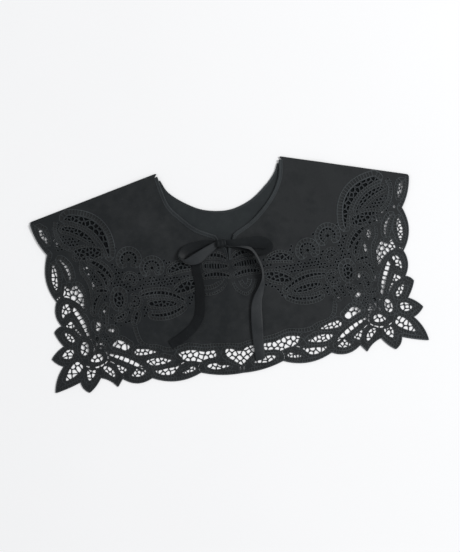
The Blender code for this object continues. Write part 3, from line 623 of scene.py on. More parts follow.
@dataclass
class LaceMaker:
    """Turns the tables of openings into rings with rounded, uneven holes.

    Attributes:
        bar: The width of the thread bar between two holes, in millimetres.
        wobble: How far a bar may lie off its even place, as a share of a hole.
        least: The smallest hole's area that is still cut, in square millimetres.
        widest_kept: The widest part of a band that the ground keeps clear of.
    """

    bar: float = 0.8
    wobble: float = 0.16
    least: float = 1.6
    widest_kept: float = 6.5

    def __post_init__(self) -> None:
        """Seed the draws."""
        self.random = np.random.default_rng(SEED)

    def motifs(self, rows: Iterable[Opening], zone: Zone, halves: Iterable[Half] = tuple(Half)) -> list[Motif]:
        """The openings of a table, on the halves asked for."""
        made = []
        for half in halves:
            for row in rows:
                made.append(self.motif(row, half, zone))
                if isinstance(row, Curl):
                    made.append(self.eye(row, half, zone))
        return made

    def eye(self, curl: Curl, half: Half, zone: Zone) -> Motif:
        """The small round hole in a curl's middle."""
        angle = np.linspace(0, 2 * math.pi, 14, endpoint=False)
        ring = anticlockwise(carry_over(curl.oval(angle, np.full(14, curl.eye)), half, zone))
        return Motif(ring, [ring], curl.band * 0.4)

    def motif(self, row: Opening, half: Half, zone: Zone) -> Motif:
        """One opening with its holes."""
        if isinstance(row, Net):
            ring = rounded(np.array(row.corners), 2)
        else:
            t = np.linspace(0, 1, 40)
            edge = np.full(40, 0.5)
            ring = rounded(resample(np.vstack([row.place(t, -edge), row.place(t[::-1], edge)]), 2.0), 1)
        outline = anticlockwise(carry_over(ring, half, zone))
        if isinstance(row, Net):
            return Motif(outline, self.net_cells(outline, row.holes), row.band)
        if isinstance(row, Ladder) and row.lanes > 1:
            return Motif(outline, self.net_cells(outline, row.lanes * row.holes), row.band)
        return Motif(outline, self.rung_cells(row, half, zone), row.band)

    def rung_cells(self, row: Ladder | Curl, half: Half, zone: Zone) -> list[np.ndarray]:
        """The holes between the bars of an opening with one row of them."""
        inner = np.arange(1, row.holes) / row.holes
        inner = inner + self.random.uniform(-self.wobble, self.wobble, len(inner)) / row.holes
        cuts = np.concatenate([[0.0], inner, [1.0]])
        found = []
        for t0, t1 in zip(cuts, cuts[1:]):
            t = np.linspace(t0, t1, 6)
            side = np.full(6, 0.5)
            ring = anticlockwise(np.vstack([row.place(t, -side), row.place(t[::-1], side)]))
            found.append(self.trimmed(anticlockwise(carry_over(ring, half, zone))))
        return [cell for cell in found if cell is not None]

    def net_cells(self, outline: np.ndarray, count: int) -> list[np.ndarray]:
        """The holes of an uneven net: what of the outline lies nearest to each of a few spread-out seeds."""
        seeds = self.seeds(outline, count)
        found = []
        for k, seed in enumerate(seeds):
            ring = outline
            for other in np.delete(seeds, k, axis=0):
                ring = clipped(ring, (seed + other) / 2, other - seed)
                if len(ring) < 3:
                    break
            if len(ring) >= 3:
                found.append(self.trimmed(ring))
        return [cell for cell in found if cell is not None]

    def seeds(self, outline: np.ndarray, count: int) -> np.ndarray:
        """Points spread over a ring's inside, evenly but not regularly."""
        low, high = outline.min(axis=0), outline.max(axis=0)
        cloud = self.random.uniform(low, high, (max(400, count * 60), 2))
        cloud = cloud[inside(cloud, outline)]
        seeds = cloud[:1]
        for _ in range(count - 1):
            away = np.min(np.linalg.norm(cloud[:, None] - seeds[None], axis=2), axis=1)
            seeds = np.vstack([seeds, cloud[np.argmax(away)]])
        owner = np.argmin(np.linalg.norm(cloud[:, None] - seeds[None], axis=2), axis=1)
        middles = np.array([cloud[owner == k].mean(axis=0) for k in range(count)])
        return 0.25 * seeds + 0.75 * middles

    def trimmed(self, ring: np.ndarray) -> np.ndarray | None:
        """A hole with half a bar taken off all round and its corners rounded, or None if nothing is left."""
        even = resample(ring, 0.9)
        cut = even + normals_of(even, closed=True) * (self.bar / 2)
        size = area_of(cut)
        if size < self.least:
            return None
        return rounded(resample(cut, max(1.3, min(3.0, math.sqrt(size) * 0.5))), 1)

    def ground(self, zone: np.ndarray, motifs: Sequence[Motif], margin: float, pitch: float) -> list[np.ndarray]:
        """Small round holes scattered evenly over a zone, clear of the openings and their bands."""
        low, high = zone.min(axis=0), zone.max(axis=0)
        x, y = np.meshgrid(np.arange(low[0], high[0], pitch), np.arange(low[1], high[1], pitch * 0.87))
        x = x + (np.arange(len(x)) % 2)[:, None] * pitch / 2
        spots = np.column_stack([x.ravel(), y.ravel()])
        spots = spots + self.random.uniform(-0.12, 0.12, spots.shape) * pitch
        clear = inside(spots, zone)
        for motif in motifs:
            room = min(motif.band, self.widest_kept) + margin
            clear &= ~inside(spots, motif.outline) & (distance(spots, motif.outline) > room)
        angle = np.linspace(0, 2 * math.pi, 9, endpoint=False)
        found = []
        for spot in spots[clear]:
            reach = pitch * self.random.uniform(0.35, 0.42) * (1 + 0.15 * np.cos(2 * (angle + spot[0])))
            found.append(spot + reach[:, None] * np.column_stack([np.cos(angle), np.sin(angle)]))
        return found


def spaced(points: np.ndarray, others: np.ndarray, reach: float = 3.0) -> float:
    """The least distance between two sets of points, or the reach where there are none so near."""
    low, high = points.min(axis=0) - reach, points.max(axis=0) + reach
    near = others[np.all((others > low) & (others < high), axis=1)]
    if not len(near):
        return reach
    return float(np.min(np.linalg.norm(points[:, None] - near[None], axis=2)))


@dataclass
class Shoulder:
    """A shoulder fold: the line of its outer face, and how the cloth turns there."""

    neck: np.ndarray
    tip: np.ndarray
    radius: float = 0.75
    reach: float = 1.35
    turned: float = 6.0
    inset: float = 3.0

    def __post_init__(self) -> None:
        """Work out the fold's directions."""
        self.along = (self.tip - self.neck) / np.linalg.norm(self.tip - self.neck)
        inward = np.array([self.along[1], -self.along[0]])
        self.inward = inward if inward[1] < 0 else -inward

    def depth(self, points: np.ndarray) -> np.ndarray:
        """How far in from the fold's outer face each point of the pattern is."""
        return (points - self.neck) @ self.inward

    def row(self, depth: float) -> np.ndarray:
        """Points at one depth, from the tip to the neck."""
        cut_back = self.inset * max(0.0, 1 - max(depth, -1.0) / self.reach)
        tip = self.tip - self.along * cut_back + self.inward * depth
        neck = self.neck + self.along * cut_back + self.inward * depth
        share = np.linspace(0, 1, round(float(np.linalg.norm(tip - neck)) / 4.0) + 1)[:, None]
        return tip + share * (neck - tip)

    def rows(self, steps: int = 8) -> list[np.ndarray]:
        """The rows where the cloth starts to turn, turns, and ends beneath."""
        turn = [self.reach - self.radius * math.pi * step / steps for step in range(steps + 1)]
        return [self.row(depth) for depth in (*turn, turn[-1] - self.turned)]

    def up_to_fold(self, points: np.ndarray) -> np.ndarray:
        """The points, with those past the fold brought back to where the cloth starts to turn."""
        return points + np.maximum(self.reach - self.depth(points), 0.0)[:, None] * self.inward

    def bend(self, points: np.ndarray, height: np.ndarray) -> tuple[np.ndarray, np.ndarray]:
        """The pattern's points in space, with those past the fold turned under."""
        depth = self.depth(points)
        past = np.maximum(self.reach - depth, 0.0)
        angle = np.minimum(past / self.radius, math.pi)
        under = past - self.radius * angle
        new_depth = np.where(past > 0, self.reach - self.radius * np.sin(angle) + under, depth)
        return points + (new_depth - depth)[:, None] * self.inward, height - self.radius * (1 - np.cos(angle))


@dataclass
class Lie:
    """How the cloth lies: its height over the pattern, and the pattern's place in the frame.

    Attributes:
        wall: The panels' wall in the frame, in millimetres.
        gap: The room between the front and the back panel.
        drop_start: How far past the back panel's edge the front starts to sink to the floor.
        drop_end: And where it reaches it.
    """

    wall: float = 1.2
    gap: float = 0.3
    drop_start: float = 7.0
    drop_end: float = 21.0

    def __post_init__(self) -> None:
        """Read the frame's places, and keep the outline that the height follows."""
        low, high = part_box("front_panel")
        self.shift = np.array([(low[k] + high[k]) / 2 / MM - PATTERN_MIDDLE[k] for k in (0, 1)])
        self.shoulders = [Shoulder(*(np.array(end) for end in ends)) for ends in (RIGHT_SHOULDER, LEFT_SHOULDER)]
        self.back = self.wall / 2
        self.front = self.back + self.wall + self.gap
        right = edge_points(BACK_EDGE, 5.0)
        self.reach = np.vstack([
            right, RIGHT_SHOULDER[1], RIGHT_SHOULDER[0], LEFT_SHOULDER[0], LEFT_SHOULDER[1],
            left_border(right)[:0:-1],
        ])

    def front_height(self, points: np.ndarray) -> np.ndarray:
        """The middle of the front panel's wall, in millimetres."""
        outside = np.where(inside(points, self.reach), 0.0, distance(points, self.reach))
        share = np.clip((outside - self.drop_start) / (self.drop_end - self.drop_start), 0.0, 1.0)
        return self.front + (self.back - self.front) * share**2 * (3 - 2 * share) + self.ripple(points)

    def back_height(self, points: np.ndarray) -> np.ndarray:
        """The middle of the back panel's wall, with the soft crease at its centre."""
        crease = np.exp(-((points[:, 0] + 3.0) / 3.5) ** 2) * np.clip((points[:, 1] - 40) / 30, 0, 1)
        return self.back + 0.35 * crease

    def ripple(self, points: np.ndarray) -> np.ndarray:
        """The front's soft creases, uneven in length, depth and spacing."""
        rise = np.zeros(len(points))
        for x, y, turn, length, width, height in SOFT_CREASES:
            angle = math.radians(turn)
            dx, dy = points[:, 0] - x, points[:, 1] - y
            along = dx * math.cos(angle) + dy * math.sin(angle)
            across = -dx * math.sin(angle) + dy * math.cos(angle)
            rise += height * np.exp(-((along / length) ** 2) - (across / width) ** 2)
        return rise

    def on_front(self, points: np.ndarray, up: np.ndarray | float) -> np.ndarray:
        """Points of the front in the frame, so far above the middle of its wall, folded at the shoulders."""
        flat = points
        for shoulder in self.shoulders:
            flat = shoulder.up_to_fold(flat)
        height = self.front_height(flat) + up
        for shoulder in self.shoulders:
            points, height = shoulder.bend(points, height)
        return self.placed(points, height)

    def on_back(self, points: np.ndarray, up: np.ndarray | float) -> np.ndarray:
        """Points of the back panel in the frame, so far above the middle of its wall."""
        return self.placed(points, self.back_height(points) + up)

    def placed(self, points: np.ndarray, height: np.ndarray) -> np.ndarray:
        """Points of the pattern, with their heights, in the frame."""
        return np.column_stack([points + self.shift, height]) * MM


# Soft creases of the front: x, y, turn in degrees, length, width and height
SOFT_CREASES = (
    (150.0, 112.0, -72.0, 46.0, 13.0, 1.5),
    (112.0, 96.0, -64.0, 38.0, 8.0, 1.0),
    (97.0, 138.0, -84.0, 16.0, 2.6, 0.6),
    (104.0, 134.0, -78.0, 14.0, 2.6, 0.5),
    (92.0, 132.0, -88.0, 12.0, 2.4, 0.5),
    (196.0, 112.0, -60.0, 26.0, 8.0, 0.8),
    (128.0, 76.0, -40.0, 26.0, 7.0, 0.7),
    (-112.0, 104.0, 80.0, 48.0, 15.0, 1.5),
    (-150.0, 110.0, 68.0, 32.0, 9.0, 0.9),
    (-190.0, 92.0, 60.0, 28.0, 8.0, 0.7),
    (-96.0, 66.0, 44.0, 30.0, 7.0, 0.8),
    (70.0, 62.0, -50.0, 28.0, 8.0, 1.0),
    (-84.0, 74.0, 56.0, 26.0, 8.0, 0.8),
    (104.0, -66.0, 6.0, 42.0, 7.0, 0.9),
    (60.0, -60.0, 14.0, 30.0, 8.0, 0.7),
    (-70.0, -62.0, 24.0, 38.0, 10.0, 1.1),
    (12.0, -66.0, 84.0, 24.0, 9.0, 0.9),
    (-14.0, -54.0, -62.0, 26.0, 7.0, 0.8),
    (-26.0, -76.0, 12.0, 26.0, 5.0, 0.5),
    (-128.0, -72.0, -10.0, 24.0, 8.0, 0.6),
)


def new_piece(name: str, mesh: bpy.types.Mesh) -> bpy.types.Object:
    """A named object that rides on the collar's one body."""
    piece = bpy.data.objects.new(name, mesh)
    bpy.context.scene.collection.objects.link(piece)
    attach(piece, "root")
    return piece


def mesh_from(
    name: str,
    points: np.ndarray,
    faces: Sequence[Sequence[int]],
    material: bpy.types.Material | None = None,
    uv: np.ndarray | None = None,
    edges: Sequence[Sequence[int]] = (),
) -> bpy.types.Mesh:
    """A mesh from points and faces, with a UV for each point where one is given."""
    mesh = bpy.data.meshes.new(name)
    mesh.from_pydata(points.tolist(), [tuple(map(int, edge)) for edge in edges], [tuple(map(int, f)) for f in faces])
    if uv is not None:
        layer = mesh.uv_layers.new(name="cloth")
        corners = np.empty(len(mesh.loops), dtype=np.int32)
        mesh.loops.foreach_get("vertex_index", corners)
        layer.data.foreach_set("uv", uv[corners].astype(np.float32).ravel())
    if material is not None:
        mesh.materials.append(material)
    mesh.update()
    return mesh


def applied(name: str, source: bpy.types.Object) -> bpy.types.Mesh:
    """A plain mesh of an object with its modifiers applied. The object is removed."""
    bpy.context.view_layer.update()
    result = bpy.data.meshes.new_from_object(source.evaluated_get(bpy.context.evaluated_depsgraph_get()))
    result.name = name
    bpy.data.objects.remove(source, do_unlink=True)
    return result


def walled(name: str, mesh: bpy.types.Mesh, thickness: float, smooth: bool = True) -> bpy.types.Mesh:
    """An open surface given its wall by Solidify, in millimetres."""
    holder = bpy.data.objects.new(name, mesh)
    bpy.context.scene.collection.objects.link(holder)
    wall = holder.modifiers.new("wall", "SOLIDIFY")
    wall.thickness = thickness * MM
    wall.offset = 0.0
    result = applied(name, holder)
    if smooth:
        result.shade_smooth()
        result.set_sharp_from_angle(angle=math.radians(40))
    return result


class ThreadTree:
    """Geometry Nodes that make a round thread along every edge of a mesh."""

    def __init__(self) -> None:
        """Build the tree once, with its sizes as named inputs."""
        tree = bpy.data.node_groups.new("sewn_thread", "GeometryNodeTree")
        face = tree.interface
        face.new_socket("Lines", in_out="INPUT", socket_type="NodeSocketGeometry")
        for label, kind, value in (("Radius", "NodeSocketFloat", 0.0004), ("Sides", "NodeSocketInt", 5)):
            face.new_socket(label, in_out="INPUT", socket_type=kind).default_value = value
        face.new_socket("Finish", in_out="INPUT", socket_type="NodeSocketMaterial")
        face.new_socket("Thread", in_out="OUTPUT", socket_type="NodeSocketGeometry")
        nodes, links = tree.nodes, tree.links
        given, made = nodes.new("NodeGroupInput"), nodes.new("NodeGroupOutput")
        to_curve = nodes.new("GeometryNodeMeshToCurve")
        circle = nodes.new("GeometryNodeCurvePrimitiveCircle")
        sweep = nodes.new("GeometryNodeCurveToMesh")
        sweep.inputs["Fill Caps"].default_value = True
        realize = nodes.new("GeometryNodeRealizeInstances")
        finish = nodes.new("GeometryNodeSetMaterial")
        links.new(given.outputs["Lines"], to_curve.inputs["Mesh"])
        links.new(given.outputs["Sides"], circle.inputs["Resolution"])
        links.new(given.outputs["Radius"], circle.inputs["Radius"])
        links.new(to_curve.outputs["Curve"], sweep.inputs["Curve"])
        links.new(circle.outputs["Curve"], sweep.inputs["Profile Curve"])
        links.new(sweep.outputs["Mesh"], realize.inputs["Geometry"])
        links.new(realize.outputs["Geometry"], finish.inputs["Geometry"])
        links.new(given.outputs["Finish"], finish.inputs["Material"])
        links.new(finish.outputs["Geometry"], made.inputs["Thread"])
        self.tree = tree

    def socket(self, label: str) -> str:
        """The identifier of one of the tree's inputs."""
        return next(item.identifier for item in self.tree.interface.items_tree
                    if item.name == label and item.in_out == "INPUT")

    def sew(
        self, name: str, lines: Sequence[np.ndarray], closed: bool, radius: float, finish: bpy.types.Material,
        sides: int = 5,
    ) -> bpy.types.Mesh:
        """Threads along lines of points in the frame.

        Args:
            name: The mesh's name.
            lines: One array of points for each thread, in metres.
            closed: Whether each thread joins its own start.
            radius: The thread's radius in millimetres.
            finish: Its material.
            sides: How many sides the thread has.

        Returns:
            A plain mesh.
        """
        edges = []
        base = 0
        for line in lines:
            count = len(line)
            edges.extend((base + i, base + i + 1) for i in range(count - 1))
            if closed:
                edges.append((base + count - 1, base))
            base += count
        holder = bpy.data.objects.new(name, mesh_from(name, np.vstack(lines), (), edges=edges))
        bpy.context.scene.collection.objects.link(holder)
        node = holder.modifiers.new("thread", "NODES")
        node.node_group = self.tree
        node[self.socket("Radius")] = radius * MM
        node[self.socket("Sides")] = sides
        node[self.socket("Finish")] = finish
        result = applied(name, holder)
        result.shade_smooth()
        return result


@dataclass
class Strip:
    """A band of cloth or thread swept along a path.

    Attributes:
        rings: The points of each section, in metres: sections, points, 3.
        across: Where each of a section's points lies across the band, 0 to 1.
        closed: Whether the last section joins the first.
        along: How far along the path each section is, in metres, where that isn't simply measured.
    """

    rings: np.ndarray
    across: np.ndarray
    closed: bool
    along: np.ndarray | None = None

    def reach(self) -> np.ndarray:
        """How far along the path each section is, with the closing step where there is one."""
        if self.along is not None:
            return self.along
        middle = self.rings.mean(axis=1)
        steps = np.linalg.norm(np.roll(middle, -1, axis=0) - middle, axis=1)
        return np.concatenate([[0.0], np.cumsum(steps if self.closed else steps[:-1])])


def swept(name: str, strips: Sequence[Strip], material: bpy.types.Material) -> bpy.types.Mesh:
    """One mesh of closed strips, with a UV in metres along each and from 0 to 1 across it."""
    points, faces, uvs, base = [], [], [], 0
    for strip in strips:
        n, m = strip.rings.shape[:2]
        i, j = np.meshgrid(np.arange(n if strip.closed else n - 1), np.arange(m), indexing="ij")
        after, beside = (i + 1) % n, (j + 1) % m
        corners = np.stack([i * m + j, after * m + j, after * m + beside, i * m + beside], axis=-1)
        faces.extend((corners.reshape(-1, 4) + base).tolist())
        reach = strip.reach()
        along = np.stack([reach[i], reach[i + 1], reach[i + 1], reach[i]], axis=-1)
        across = np.stack([strip.across[j], strip.across[j], strip.across[beside], strip.across[beside]], axis=-1)
        uvs.append(np.stack([along, across], axis=-1).reshape(-1, 2))
        if not strip.closed:
            for first in (0, (n - 1) * m):
                ends = list(range(first, first + m))
                faces.append([base + k for k in (ends if first else ends[::-1])])
                uvs.append(np.column_stack([np.full(m, reach[-1 if first else 0]), strip.across]))
        points.append(strip.rings.reshape(-1, 3))
        base += n * m
    mesh = bpy.data.meshes.new(name)
    mesh.from_pydata(np.vstack(points).tolist(), [], faces)
    mesh.uv_layers.new(name="cloth").data.foreach_set("uv", np.vstack(uvs).astype(np.float32).ravel())
    shape = bmesh.new()
    shape.from_mesh(mesh)
    bmesh.ops.recalc_face_normals(shape, faces=shape.faces)
    shape.to_mesh(mesh)
    shape.free()
    mesh.materials.append(material)
    mesh.shade_smooth()
    mesh.set_sharp_from_angle(angle=math.radians(50))
    return mesh


@dataclass
class Tape:
    """The embroidered tape that lies round every opening, with a cord at each side and rungs between.

    Attributes:
        place: Puts points of the pattern in the frame, so far above the middle of the wall.
        base: The height of the cloth's upper face above the middle of the CAD wall.
        rise: The height of a cord.
        pitch: From one rung to the next.
    """

    place: Callable[[np.ndarray, np.ndarray | float], np.ndarray]
    base: float = 0.2
    rise: float = 0.75
    pitch: float = 3.8
    across: tuple[float, ...] = (0.0, 0.09, 0.22, 0.5, 0.78, 0.91, 1.0)
    free: tuple[float, ...] = (0.1, 1.0, 0.12, 0.1, 0.12, 0.95, 0.0)
    shared: tuple[float, ...] = (0.1, 1.0, 0.12, 0.1, 0.12, 0.2, 0.25)

    def lay(self, paths: Sequence[np.ndarray], widest: Sequence[float], closed: Sequence[bool]) -> list[Strip]:
        """A strip to the right of each path, as wide as the room to the next path allows.

        Args:
            paths: The paths in pattern millimetres; a ring runs anticlockwise, so its right is outside.
            widest: The widest that each path's strip may be.
            closed: Whether each path is a ring.

        Returns:
            The strips, and keeps the rungs' lines.
        """
        everyone = np.vstack(paths)
        strips = []
        self.rungs: list[np.ndarray] = []
        for path, most, ring in zip(paths, widest, closed):
            outward = -normals_of(path, ring)
            room = self.room(path, outward, everyone, ring)
            width = np.clip(np.minimum(most, room - 0.1), 0.5, None)
            alone = np.clip((room - most) / 1.5, 0, 1)[:, None]
            heights = alone * np.array(self.free) + (1 - alone) * np.array(self.shared)
            share = np.array(self.across)
            top = path[:, None] + outward[:, None] * (width[:, None] * share)[:, :, None]
            count, columns = len(path), len(share)
            upper = self.place(top.reshape(-1, 2), (self.base + self.rise * heights).ravel())
            lower = self.place(top[:, [-1, 0]].reshape(-1, 2), self.base - 0.3)
            rings = np.concatenate(
                [upper.reshape(count, columns, 3), lower.reshape(count, 2, 3)], axis=1)
            after = np.vstack([path[1:], path[:1]]) if ring else path[1:]
            steps = np.linalg.norm(after - path[:len(after)], axis=1)
            reach = np.concatenate([[0.0], np.cumsum(steps)])
            fitted = reach / reach[-1] * max(1, round(reach[-1] / self.pitch)) * self.pitch
            strips.append(Strip(rings, np.array([*self.across, 1.0, 0.0]), ring, fitted * MM))
            self.add_rungs(path, outward, width, fitted)
        return strips

    def room(self, path: np.ndarray, outward: np.ndarray, everyone: np.ndarray, ring: bool) -> np.ndarray:
        """How far a strip may reach from each point before it meets a strip from elsewhere, smoothed."""
        found = np.empty(len(path))
        for k, (point, normal) in enumerate(zip(path, outward)):
            away = everyone - point
            ahead = away @ normal
            squared = np.einsum("ij,ij->i", away, away)
            fair = (ahead > 0.25) & (squared > 6.0)
            found[k] = np.min(squared[fair] / (2 * ahead[fair]), initial=40.0)
        mode = "wrap" if ring else "edge"
        low = np.min(np.stack([np.pad(found, 1, mode=mode)[k:k + len(found)] for k in range(3)]), axis=0)
        return np.mean(np.stack([np.pad(low, 2, mode=mode)[k:k + len(found)] for k in range(5)]), axis=0)

    def add_rungs(self, path: np.ndarray, outward: np.ndarray, width: np.ndarray, reach: np.ndarray) -> None:
        """Keep a line for every rung of one strip."""
        for spot in np.arange(self.pitch / 2, reach[-1], self.pitch):
            k = float(np.interp(spot, reach, np.arange(len(reach))))
            i, part = int(k), k - int(k)
            j = (i + 1) % len(path)
            i = min(i, len(path) - 1)
            start = path[i] * (1 - part) + path[j] * part
            normal = outward[i] * (1 - part) + outward[j] * part
            wide = width[i] * (1 - part) + width[j] * part
            if wide > 2.0:
                line = start + normal * (wide * np.array([0.08, 0.5, 0.94]))[:, None]
                self.rungs.append(self.place(line, self.base + self.rise * np.array([0.55, 0.42, 0.45])))


@dataclass
class Panel:
    """One cloth panel with its lace: the outline, the openings and what is kept of their holes.

    Attributes:
        outline: The closed outline in pattern millimetres.
        motifs: The openings.
        place: Puts points of the pattern in the frame.
        rows: Lines of points across the shoulder folds.
        ground: Small holes between the openings.
        lines: Open paths that a tape follows too, on their right.
    """

    outline: np.ndarray
    motifs: list[Motif]
    place: Callable[[np.ndarray, np.ndarray | float], np.ndarray]
    rows: Sequence[np.ndarray] = ()
    ground: Sequence[np.ndarray] = ()
    lines: Sequence[np.ndarray] = ()

    def __post_init__(self) -> None:
        """Keep the holes that have room for a bar all round."""
        taken = resample(self.outline, 1.0)
        self.cells: list[np.ndarray] = []
        for cells in (*(motif.cells for motif in self.motifs), self.ground):
            for cell in cells:
                apart = spaced(cell, taken)
                if apart > 0.3 and bool(np.all(inside(cell, self.outline))):
                    self.cells.append(cell)
                    taken = np.vstack([taken, cell])

    def shell(self, grid: float) -> tuple[np.ndarray, list[list[int]]]:
        """The cloth's triangles in the pattern, open at every hole."""
        points, edges = [], []
        for ring in [self.outline, *self.cells]:
            base = len(points)
            points.extend(ring)
            edges.extend((base + i, base + (i + 1) % len(ring)) for i in range(len(ring)))
        for row in self.rows:
            base = len(points)
            points.extend(row)
            edges.extend((base + i, base + i + 1) for i in range(len(row) - 1))
        points.extend(self.filling(np.array(points), grid))
        found, _, faces, *_ = delaunay_2d_cdt([tuple(map(float, p)) for p in points], edges, [], 0, 1e-4)
        found = np.array([tuple(p) for p in found])
        faces = np.array([tuple(face) for face in faces])
        middles = found[faces].mean(axis=1)
        keep = inside(middles, self.outline)
        for cell in self.cells:
            keep &= ~inside(middles, cell)
        used, fresh = np.unique(faces[keep], return_inverse=True)
        return found[used], fresh.reshape(-1, 3).tolist()

    def filling(self, taken: np.ndarray, grid: float) -> np.ndarray:
        """Points on a staggered grid, clear of the outline and the holes."""
        low, high = self.outline.min(axis=0), self.outline.max(axis=0)
        x, y = np.meshgrid(np.arange(low[0], high[0], grid), np.arange(low[1], high[1], grid * 0.87))
        x = x + (np.arange(len(x)) % 2)[:, None] * grid / 2
        points = np.column_stack([x.ravel(), y.ravel()])
        points = points[inside(points, self.outline)]
        clear = np.array([spaced(point[None], taken) > grid * 0.45 for point in points])
        for cell in self.cells:
            clear &= ~inside(points, cell)
        return points[clear]

    def tape_paths(self, edge: np.ndarray) -> tuple[list[np.ndarray], list[float], list[bool]]:
        """The paths that the tape follows: round every opening with holes, and inside the outer edge."""
        paths, widest, closed = [], [], []
        cells = np.vstack(self.cells)
        for motif in self.motifs:
            if bool(np.any(inside(cells, motif.outline))) or len(motif.cells) == 1:
                paths.append(resample(motif.outline, 1.5))
                widest.append(motif.band)
                closed.append(True)
        open_paths = [edge, *self.lines]
        return [*paths, *open_paths], [*widest, *[6.5] * len(open_paths)], [*closed, *[False] * len(open_paths)]


def neck_and_slit(neck: Sequence, slit: Sequence) -> tuple[np.ndarray, np.ndarray]:
    """One side's path along the neck and down the slit, and its binding's width at each point."""
    neck_run, slit_run = smooth_curve(neck), smooth_curve(slit)
    widths = np.concatenate([
        np.full(len(neck_run) - 1, NECK_BINDING),
        np.interp(np.arange(len(slit_run)), (0, len(slit_run) - 1), (NECK_BINDING, SLIT_BINDING)),
    ])
    return np.vstack([neck_run[:-1], slit_run]), widths


def front_panel(lie: Lie, maker: LaceMaker) -> tuple[Panel, np.ndarray]:
    """The front panel and its outer edge, from the left shoulder round the hem to the right one."""
    right = edge_points(FRONT_EDGE)
    left = left_border(right)
    necks = []
    for neck, slit, side in ((RIGHT_NECK, RIGHT_SLIT, 1), (LEFT_NECK, LEFT_SLIT, -1)):
        path, widths = neck_and_slit(neck, slit)
        necks.append(inset(path, side * (widths - HIDDEN_EDGE)))
    rows = [shoulder.rows() for shoulder in lie.shoulders]
    right_tip, right_top = ([row[end] for row in rows[0]] for end in (0, -1))
    left_tip, left_top = ([row[end] for row in rows[1]] for end in (0, -1))
    outline = np.vstack([
        right, right_tip, rows[0][-1][1:-1], right_top[::-1], necks[0],
        necks[1][::-1], left_top, rows[1][-1][1:-1][::-1], left_tip[::-1], left[:0:-1],
    ])
    motifs = [
        *maker.motifs(BORDER, Zone.BORDER), *maker.motifs(CENTRE_LACE, Zone.BORDER, [Half.RIGHT]),
        *maker.motifs(RIGHT_LACE, Zone.BORDER, [Half.RIGHT]), *maker.motifs(LEFT_LACE, Zone.BORDER, [Half.LEFT]),
        *maker.motifs(CHAIN, Zone.CHAIN),
    ]
    ground = []
    for half in Half:
        zone = anticlockwise(carry_over(np.array(GROUND), half, Zone.CHAIN))
        ground.extend(maker.ground(zone, motifs, 1.7, 4.9))
        fine = anticlockwise(carry_over(np.array(FINE_GROUND), half, Zone.BORDER))
        ground.extend(maker.ground(fine, motifs, -0.6, 4.1))
    hem = smooth_curve(HEM_LINE, 1.6)
    lines = [hem, left_border(hem)[::-1]]
    for sweep in SWEEPS:
        path = smooth_curve(sweep, 1.6)
        lines.extend([path, left_chain(path)[::-1]])
    lines.extend(smooth_curve(rim, 1.6) for rim in PETAL_RIMS)
    edge = np.vstack([right[::-1], left[1:]])
    return Panel(outline, motifs, lie.on_front, [*rows[0], *rows[1]], ground, lines), edge


def back_panel(lie: Lie, maker: LaceMaker) -> tuple[Panel, np.ndarray]:
    """The back panel and its outer edge."""
    right = edge_points(BACK_EDGE)
    right = right[lie.shoulders[0].depth(right) > BACK_DEPTH + 1]
    left = left_border(right)
    path = smooth_curve(BACK_NECK)
    neck = inset(path, np.full(len(path), BACK_BINDING - HIDDEN_EDGE))
    corners = []
    for shoulder, first, last in ((lie.shoulders[0], right[-1], neck[0]), (lie.shoulders[1], neck[-1], left[-1])):
        for point in (first, last):
            corners.append(point + (BACK_DEPTH - shoulder.depth(point[None]))[0] * shoulder.inward)
    outline = np.vstack([right, corners[:2], neck, corners[2:], left[:0:-1]])
    return Panel(outline, maker.motifs(BACK_LACE, Zone.BORDER), lie.on_back), np.vstack([right[::-1], left[1:]])


def binding_strip(lie: Lie, path: np.ndarray, widths: np.ndarray, middle: Callable, lift: np.ndarray) -> Strip:
    """A bias strip over a raw edge: a full roll on the edge itself, then a flat hem inwards."""
    across = np.array([0.0, 0.04, 0.15, 0.28, 0.42, 0.5, 0.74, 0.96, 1.0, 0.0])
    height = np.array([0.0, 0.95, 1.5, 1.45, 0.9, 0.55, 0.55, 0.42, -0.5, -0.5])
    sections = []
    for share, up in zip(across, height):
        points = inset(path, widths * share)
        lifted = lift * (0.35 + 0.65 * (1 - share)) * (up > -0.2)
        sections.append(lie.placed(points, middle(points) + up + lifted))
    return Strip(np.stack(sections, axis=1), across, False)


def stitch_lines(path: np.ndarray, pitch: float, length: float) -> list[np.ndarray]:
    """Short straight stitches along a line of points in the frame, at an even pitch, in metres."""
    reach = np.concatenate([[0.0], np.cumsum(np.linalg.norm(np.diff(path, axis=0), axis=1))])
    starts = np.arange(pitch / 2, reach[-1] - length, pitch)
    ends = [np.column_stack([np.interp(spot, reach, path[:, k]) for k in range(3)])
            for spot in (starts, starts + length)]
    return list(np.stack(ends, axis=1))


def overcast_lines(lines: np.ndarray, pitch: float, slant: float) -> list[np.ndarray]:
    """Slanted stitches over a rolled edge, from one point on each of a few lines that run beside each other."""
    reach = np.concatenate([[0.0], np.cumsum(np.linalg.norm(np.diff(lines[:, 0], axis=0), axis=1))])
    count = lines.shape[1]
    return [
        np.array([[np.interp(spot + slant * k, reach, lines[:, k, axis]) for axis in range(3)] for k in range(count)])
        for spot in np.arange(pitch / 2, reach[-1] - slant * count, pitch)
    ]


@dataclass(frozen=True)
class Ribbon:
    """One stretch of the tie: its rungs, its name and how its cloth creases.

    Attributes:
        name: The piece's name.
        node: The CAD solid it stands for.
        table: The rungs.
        pleat: How high the gathers stand beside the knot, in millimetres.
        at_end: Whether the far end is gathered into the knot too.
        bow: How far the cloth's middle stands above its edges.
        bright_first: Whether the bright face, whose lighter dye is painted light, is on the side that faces up where
            the ribbon leaves the knot; the back's darker dye is painted shade.
    """

    name: str
    node: str
    table: tuple[tuple[float, ...], ...]
    pleat: float
    at_end: bool
    bow: float
    bright_first: bool


